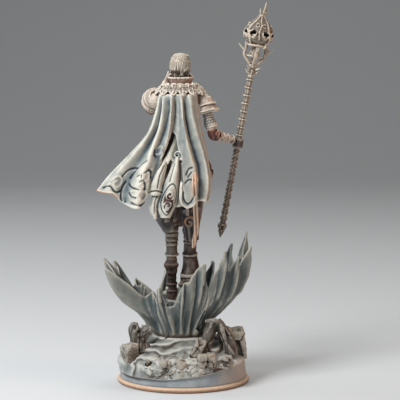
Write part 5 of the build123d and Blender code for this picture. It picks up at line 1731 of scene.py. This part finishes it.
    def seam(shares, bearing, inset, thick):
        """A rib up the bulb, let in to a share of its radius."""
        path = on_staff(low + shares * tall, np.interp(shares, *girths) * inset, bearing)
        clay.tube(path, np.interp(shares, *thick), 8)

    s = np.linspace(0, 1, 60)
    clay = Clay().tube(on_staff(low + s * tall), np.interp(s, *girths) * 0.93, 40)
    openings = []
    for k in range(4):
        facing = k * math.pi / 2 - math.pi / 2 + 0.05
        for way in (-1, 1):
            # a big comma opening and a small one above, each ringed by a scroll
            for share, across, size, start in ((0.34, 0.42, 1.95, 0.2), (0.62, 0.26, 0.8, 0.6)):
                radius = np.interp(share, *girths) * 0.94
                hub = on_staff(low + tall * share, radius, facing + way * across)
                out = unit(hub - on_staff(low + tall * share))
                across_way = np.cross(axis, out) * way
                for shift, high_shift, wide in ((-0.1, 0.42, 0.5), (0.36, 0.1, 0.42), (0.2, -0.34, 0.3)):
                    openings.append((hub + (across_way * shift + axis * high_shift) * size, size * wide))
                path = curl(hub + out * 0.02, np.cross(axis, out) * way, axis, size, 1.05, start, 26, 0.8)
                clay.tube(path, np.linspace(0.32, 0.2, 26), 8, out)
        edge = np.linspace(0.02, 0.98, 26)
        seam(edge, facing + math.pi / 4 + 0.1 * np.sin(edge * 9), 0.9, ([0, 0.4, 1], [0.6, 0.8, 0.3]))
        seam(edge[4:], facing + 0.05 * np.sin(edge[4:] * 12), 0.94, ([0, 0.5, 1], [0.26, 0.28, 0.24]))

    def pierced(points, normals):
        lift = 0.05 * mottle(points, 0.7, 211)
        for hub, size in openings:
            away = np.linalg.norm(points - hub, axis=1)
            lift = lift - 2.0 * (1 - rise(away, size * 0.55, size * 1.0))
        return lift

    # painted shade inside the openings
    def inside(points):
        away = [(np.linalg.norm(points - hub, axis=1), size) for hub, size in openings]
        return np.max([1 - rise(far, size * 0.7, size * 1.15) for far, size in away], axis=0)

    clay.cast("scrolled_bulb", "staff_head", ["staff_bulb"], 0.17, 1, pierced, 0.4, 1.4, inside)

    # finial: a spike among small leaves
    low, high = reach("staff_finial")
    tall = high - low
    clay = Clay().node("staff_finial")
    for k in range(5):
        bearing = k * 2 * math.pi / 5
        leaf = climb([(0.02, 0.5), (0.16, 1.1), (0.42 + 0.1 * (k % 2), 1.35)], bearing, 9)
        clay.tube(leaf, [0.3, 0.36, 0.38, 0.36, 0.3, 0.24, 0.18, 0.12, 0.06], 7, side)
    clay.cast("leafy_finial", "staff", ["staff_finial"], 0.13, 0, None, 0.25, 0.8)


# ---------------------------------------------------------------- stage


# each soft light: its place in metres, how high it aims as a share of the figure's middle, size, power and colour
LIGHTS = {
    "key_softbox": ((-0.24, -0.26, 0.40), 1.35, 0.20, 2.3, (0.98, 0.99, 1.0)),
    "warm_side": ((0.60, -0.22, 0.36), 0.9, 0.26, 0.85, (1.0, 0.80, 0.62)),
    "top_bank": ((0.0, 0.15, 0.75), 0.9, 0.4, 2.0, (1.0, 0.99, 0.97)),
    "cool_side": ((-0.6, 0.25, 0.25), 0.9, 0.3, 0.9, (0.84, 0.93, 1.0)),
}
SKY_COLOUR = (0.88, 0.9, 0.92, 1)
CAMERA_PLACE = (0.0064, -0.6467, 0.1397)  # in metres, where the study view is seen from
SENSOR_WIDTH = 36.0  # millimetres


def area_light(name, place, target, size, power, colour):
    data = bpy.data.lights.new(name, "AREA")
    data.size, data.energy, data.color = size, power, colour
    lamp = put_in_scene(name, data)
    lamp.location = place
    lamp.rotation_mode = "QUATERNION"
    lamp.rotation_quaternion = (Vector(target) - Vector(place)).to_track_quat("-Z", "Y")


def build_stage(sizes, tones):
    low, high = CAD_BOX
    middle = (low + high) / 2
    half, deep = sizes.floor_width / 2, sizes.floor_width * 0.42
    flat, sweep = deep * 0.6, deep * 0.4  # a level floor that sweeps up into a wall
    bend = [(flat + sweep * math.sin(a), sweep * (1 - math.cos(a))) for a in np.linspace(0.15, math.pi / 2, 12)]
    profile = [(-half, 0.0), (flat, 0.0), *bend, (deep, half * 1.2)]
    points = [(x, y, z) for y, z in profile for x in (-half * 1.6, half * 1.6)]
    faces = [(2 * i, 2 * i + 1, 2 * i + 3, 2 * i + 2) for i in range(len(profile) - 1)]
    mesh = bpy.data.meshes.new("studio_floor")
    mesh.from_pydata(points, [], faces)
    mesh.polygons.foreach_set("use_smooth", [True] * len(faces))
    board = Board("studio_paper")
    patch = board.add("ShaderNodeTexNoise", {}, {"Scale": 6.0, "Detail": 2.0})
    colour = board.mix(tuple(tones.paper), tuple(tones.paper_light), patch)
    mesh.materials.append(finish(board, {"Base Color": colour, "Roughness": 0.9}))
    floor = put_in_scene("studio_floor", mesh)

    for name, (place, level, *rest) in LIGHTS.items():
        area_light(name, place, (middle.x, middle.y, middle.z * level), *rest)
    world = bpy.data.worlds.new("studio")
    bpy.context.scene.world = world
    world.use_nodes = True
    sky = world.node_tree.nodes["Background"].inputs
    sky["Color"].default_value, sky["Strength"].default_value = SKY_COLOUR, sizes.sky_strength
    bpy.context.scene.view_settings.view_transform = "Standard"

    data = bpy.data.cameras.new("study_camera")
    data.sensor_width, data.lens = SENSOR_WIDTH, sizes.lens
    camera = put_in_scene("study_camera", data)
    camera.location = CAMERA_PLACE
    camera.rotation_euler = (math.radians(90 - sizes.camera_pitch), 0, 0)
    bpy.context.scene.camera = camera


# ---------------------------------------------------------------- settings, operators and panel


def size_setting(name, description, default, **extra):
    return FloatProperty(name=name, description=description, default=default, **extra)


def colour_setting(name, description, red, green, blue):
    return FloatVectorProperty(
        name=name, description=description, subtype="COLOR", size=4, min=0, max=1, default=ink(red, green, blue)
    )


class MageSizes(bpy.types.PropertyGroup):
    """Sizes of the sculpted detail and of the studio"""

    fold_depth: size_setting("Fold depth", "Depth of the cape's folds, as a share of the usual", 1.0, min=0, max=1.5)
    cape_wall: size_setting("Cape wall", "Thickness of the cape", 0.0010, unit="LENGTH")
    flute_depth: size_setting("Flute depth", "Depth of the splash's flutes, as a share", 0.8, min=0, max=1.5)
    ledge_height: size_setting("Ledge height", "Height of the ledges in the flowing ground", 0.0012, unit="LENGTH")
    chip_depth: size_setting("Chip depth", "Depth of the chips in the broken stone", 0.00036, unit="LENGTH")
    floor_width: size_setting("Floor width", "Width of the studio floor", 3.0, unit="LENGTH")
    ring_pitch: size_setting("Ring pitch", "Distance between the rings of the staff", 0.00305, unit="LENGTH")
    lens: size_setting("Lens", "Focal length of the study camera, in millimetres", 155.4, unit="CAMERA")
    camera_pitch: size_setting("Camera pitch", "How far the study camera looks down, in degrees", 6.25)
    sky_strength: size_setting("Sky strength", "Brightness of the studio's even light", 0.15, min=0)


class MageTones(bpy.types.PropertyGroup):
    """Paint colours of the figure and its base"""

    # the tones named shade are painted shade in the folds, and the tones named light, all but drum_light, are painted
    # highlights on the crests
    cape: colour_setting("Cape", "Cape cloth", 158, 162, 156)
    cape_shade: colour_setting("Cape shade", "Depths of the cape's folds", 44, 66, 82)
    cape_light: colour_setting("Cape light", "Crests of the cape's folds", 220, 215, 202)
    lining: colour_setting("Lining", "Torn layer in the cape's slit", 150, 160, 150)
    ribbon: colour_setting("Ribbon", "Copper ribbon of the cape", 186, 150, 124)
    splash: colour_setting("Splash", "Body of the splash", 102, 107, 104)
    splash_shade: colour_setting("Splash shade", "Valleys of the splash", 72, 86, 88)
    splash_light: colour_setting("Splash light", "Crests of the splash", 146, 145, 136)
    # washed into the splash's fine hollows with painted shade, and painted as shade on its right side
    splash_wash: colour_setting("Splash wash", "Wash in the splash's fine hollows", 62, 74, 78)
    ground: colour_setting("Ground", "Flowing ground", 142, 143, 137)
    ground_light: colour_setting("Ground light", "Crests of the flowing ground", 192, 190, 182)
    rock: colour_setting("Rock", "Broken stone", 112, 106, 98)
    rock_shade: colour_setting("Rock shade", "Shaded stone and wood", 84, 72, 62)
    rock_light: colour_setting("Rock light", "Raised stone", 168, 160, 148)
    root: colour_setting("Root", "Stump and root", 72, 64, 56)
    armour: colour_setting("Armour", "Plates", 168, 152, 138)
    armour_shade: colour_setting("Armour shade", "Undersides of plates and robes", 88, 78, 76)
    armour_light: colour_setting("Armour light", "Raised plates", 220, 206, 190)
    mail: colour_setting("Mail", "Mail sleeves", 128, 126, 124)
    lacquer: colour_setting("Lacquer", "Dark red guards", 70, 38, 36)
    lacquer_light: colour_setting("Lacquer light", "Lit red guards", 112, 70, 62)
    robe: colour_setting("Robe", "Coat, tabard and trousers", 112, 106, 108)
    robe_light: colour_setting("Robe light", "Crests of the robes", 150, 138, 130)
    trouser: colour_setting("Trousers", "Baggy trousers", 60, 54, 50)
    coat: colour_setting("Coat", "Skirts of the coat", 66, 54, 50)
    dark_plate: colour_setting("Dark plate", "Plates of the left leg", 84, 80, 72)
    collar: colour_setting("Collar", "Tall collar", 140, 112, 100)
    scale: colour_setting("Scales", "Scales of the mantle", 146, 136, 124)
    staff_low: colour_setting("Lower staff", "Lower staff and ferrule", 110, 92, 82)
    leather: colour_setting("Leather", "Boots and belt", 66, 52, 48)
    leather_light: colour_setting("Leather light", "Lit leather", 108, 90, 80)
    staff: colour_setting("Staff", "Staff and its head", 112, 102, 90)
    staff_shade: colour_setting("Staff shade", "Shaded parts of the staff", 66, 56, 54)
    staff_light: colour_setting("Staff light", "Raised parts of the staff", 196, 178, 160)
    hair: colour_setting("Hair", "Hair", 150, 136, 120)
    hair_light: colour_setting("Hair light", "Crests of the locks", 226, 220, 206)
    hair_low: colour_setting("Hair at the nape", "Brown of the hair low on the neck", 66, 50, 42)
    skin: colour_setting("Skin", "Face and hand", 182, 154, 138)
    skin_shade: colour_setting("Skin shade", "Shaded skin", 118, 86, 76)
    skin_light: colour_setting("Skin light", "Lit skin", 216, 194, 178)
    # the pale colour of the painted edge highlights
    bone: colour_setting("Bone", "Pale edge colour", 226, 216, 198)
    copper: colour_setting("Copper", "Copper trim", 206, 150, 116)
    # brown-black, washed into the fine hollows and used as painted shade in the folds of dark cloth, leather and wood,
    # in the cape's slit, under the mantle, in the bulb's openings and in the plinth's groove
    wash: colour_setting("Wash", "Brown-black wash in the hollows", 40, 32, 30)
    # painted cool light on the surfaces facing left, and painted warm light on those facing right
    cool_glaze: colour_setting("Cool glaze", "Glaze on the left side", 150, 176, 192)
    warm_glaze: colour_setting("Warm glaze", "Glaze on the right side", 236, 176, 140)
    drum: colour_setting("Drum", "Side of the plinth", 142, 150, 156)
    drum_light: colour_setting("Drum light", "Pale patches of the plinth", 166, 172, 176)
    # painted warm light on the plinth's right side
    drum_warm_light: colour_setting("Drum warm", "Warm right side of the plinth", 184, 158, 142)
    rim: colour_setting("Rim", "Plinth rim", 172, 132, 102)
    # a painted highlight on the top of the rim bead
    rim_light: colour_setting("Rim light", "Rubbed top of the rim", 222, 190, 162)
    paper: colour_setting("Paper", "Studio paper", 206, 208, 210)
    paper_light: colour_setting("Paper light", "Pale patches of the studio paper", 214, 216, 217)


class Piecework:
    """What the operators share: undo, and the settings they build from"""

    bl_options = {"REGISTER", "UNDO"}

    def work(self, context, *makers):
        for maker in makers:
            maker(context.scene.mage_sizes)
        return {"FINISHED"}


class MAGE_OT_paints(Piecework, bpy.types.Operator):
    """Mix the paints from the chosen colours"""

    bl_idname = "mage.paints"
    bl_label = "Mix paints"

    def execute(self, context):
        mix_paints(context.scene.mage_tones)
        return {"FINISHED"}


class MAGE_OT_plinth(Piecework, bpy.types.Operator):
    """Paint the turned plinth and its pin"""

    bl_idname = "mage.plinth"
    bl_label = "Plinth"

    def execute(self, context):
        for node, paint in (("plinth", plinth_paint(context.scene.mage_tones)), ("main_pin", steel_paint())):
            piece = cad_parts[node]
            piece.data.materials.clear()
            piece.data.materials.append(paint)
        return {"FINISHED"}


class MAGE_OT_ground(Piecework, bpy.types.Operator):
    """Sculpt the flowing ground with its ledges"""

    bl_idname = "mage.ground"
    bl_label = "Ground"

    def execute(self, context):
        return self.work(context, build_ground)


class MAGE_OT_rocks(Piecework, bpy.types.Operator):
    """Sculpt the rocks, rubble, stump and root arch"""

    bl_idname = "mage.rocks"
    bl_label = "Rocks and wood"

    def execute(self, context):
        return self.work(context, build_rocks)


class MAGE_OT_splash(Piecework, bpy.types.Operator):
    """Sculpt the four walls of the splash and the jet under the foot"""

    bl_idname = "mage.splash"
    bl_label = "Splash"

    def execute(self, context):
        return self.work(context, build_splash)


class MAGE_OT_cape(Piecework, bpy.types.Operator):
    """Sculpt the cape, its torn layer, tails and ribbon"""

    bl_idname = "mage.cape"
    bl_label = "Cape"

    def execute(self, context):
        return self.work(context, build_cape, build_cape_layers)


class MAGE_OT_legs(Piecework, bpy.types.Operator):
    """Sculpt the trousers, greaves, knees and boots"""

    bl_idname = "mage.legs"
    bl_label = "Legs"

    def execute(self, context):
        return self.work(context, build_legs)


class MAGE_OT_robes(Piecework, bpy.types.Operator):
    """Sculpt the body, coat, tabard, sash and belt"""

    bl_idname = "mage.robes"
    bl_label = "Body and robes"

    def execute(self, context):
        return self.work(context, build_robes)


class MAGE_OT_shoulders(Piecework, bpy.types.Operator):
    """Sculpt the scaled mantle, the collar and the pauldrons"""

    bl_idname = "mage.shoulders"
    bl_label = "Mantle and pauldrons"

    def execute(self, context):
        return self.work(context, build_mantle, build_pauldrons)


class MAGE_OT_arms(Piecework, bpy.types.Operator):
    """Sculpt the mail sleeves, elbow guards, bracers and hands"""

    bl_idname = "mage.arms"
    bl_label = "Arms and hands"

    def execute(self, context):
        return self.work(context, build_arms)


class MAGE_OT_head(Piecework, bpy.types.Operator):
    """Sculpt the head and its swept-back hair"""

    bl_idname = "mage.head"
    bl_label = "Head and hair"

    def execute(self, context):
        return self.work(context, build_head)


class MAGE_OT_staff(Piecework, bpy.types.Operator):
    """Sculpt the ringed staff with its thorned cage and scrolled head"""

    bl_idname = "mage.staff"
    bl_label = "Staff"

    def execute(self, context):
        return self.work(context, build_staff)


class MAGE_OT_stage(Piecework, bpy.types.Operator):
    """Set up the floor, soft light and camera"""

    bl_idname = "mage.stage"
    bl_label = "Studio"

    def execute(self, context):
        build_stage(context.scene.mage_sizes, context.scene.mage_tones)
        return {"FINISHED"}


STEPS = (
    MAGE_OT_paints, MAGE_OT_plinth, MAGE_OT_ground, MAGE_OT_rocks, MAGE_OT_splash, MAGE_OT_cape, MAGE_OT_legs,
    MAGE_OT_robes, MAGE_OT_shoulders, MAGE_OT_arms, MAGE_OT_head, MAGE_OT_staff, MAGE_OT_stage,
)


class MAGE_PT_panel(bpy.types.Panel):
    """The steps that build the miniature"""

    bl_idname = "MAGE_PT_panel"
    bl_label = "Mage miniature"
    bl_space_type = "VIEW_3D"
    bl_region_type = "UI"
    bl_category = "Miniature"

    def draw(self, context):
        for group in (context.scene.mage_sizes, context.scene.mage_tones):
            column = self.layout.column()
            for key in group.bl_rna.properties.keys():
                if key not in ("rna_type", "name"):
                    column.prop(group, key)
        for step in STEPS:
            self.layout.operator(step.bl_idname)


CLASSES = (MageSizes, MageTones, *STEPS, MAGE_PT_panel)


def register():
    for kind in CLASSES:
        bpy.utils.register_class(kind)
    bpy.types.Scene.mage_sizes = PointerProperty(type=MageSizes)
    bpy.types.Scene.mage_tones = PointerProperty(type=MageTones)


def unregister():
    del bpy.types.Scene.mage_tones
    del bpy.types.Scene.mage_sizes
    for kind in reversed(CLASSES):
        bpy.utils.unregister_class(kind)


def main():
    register()
    for step in STEPS:
        group, name = step.bl_idname.split(".")
        getattr(getattr(bpy.ops, group), name)()


if __name__ == "__main__":
    main()
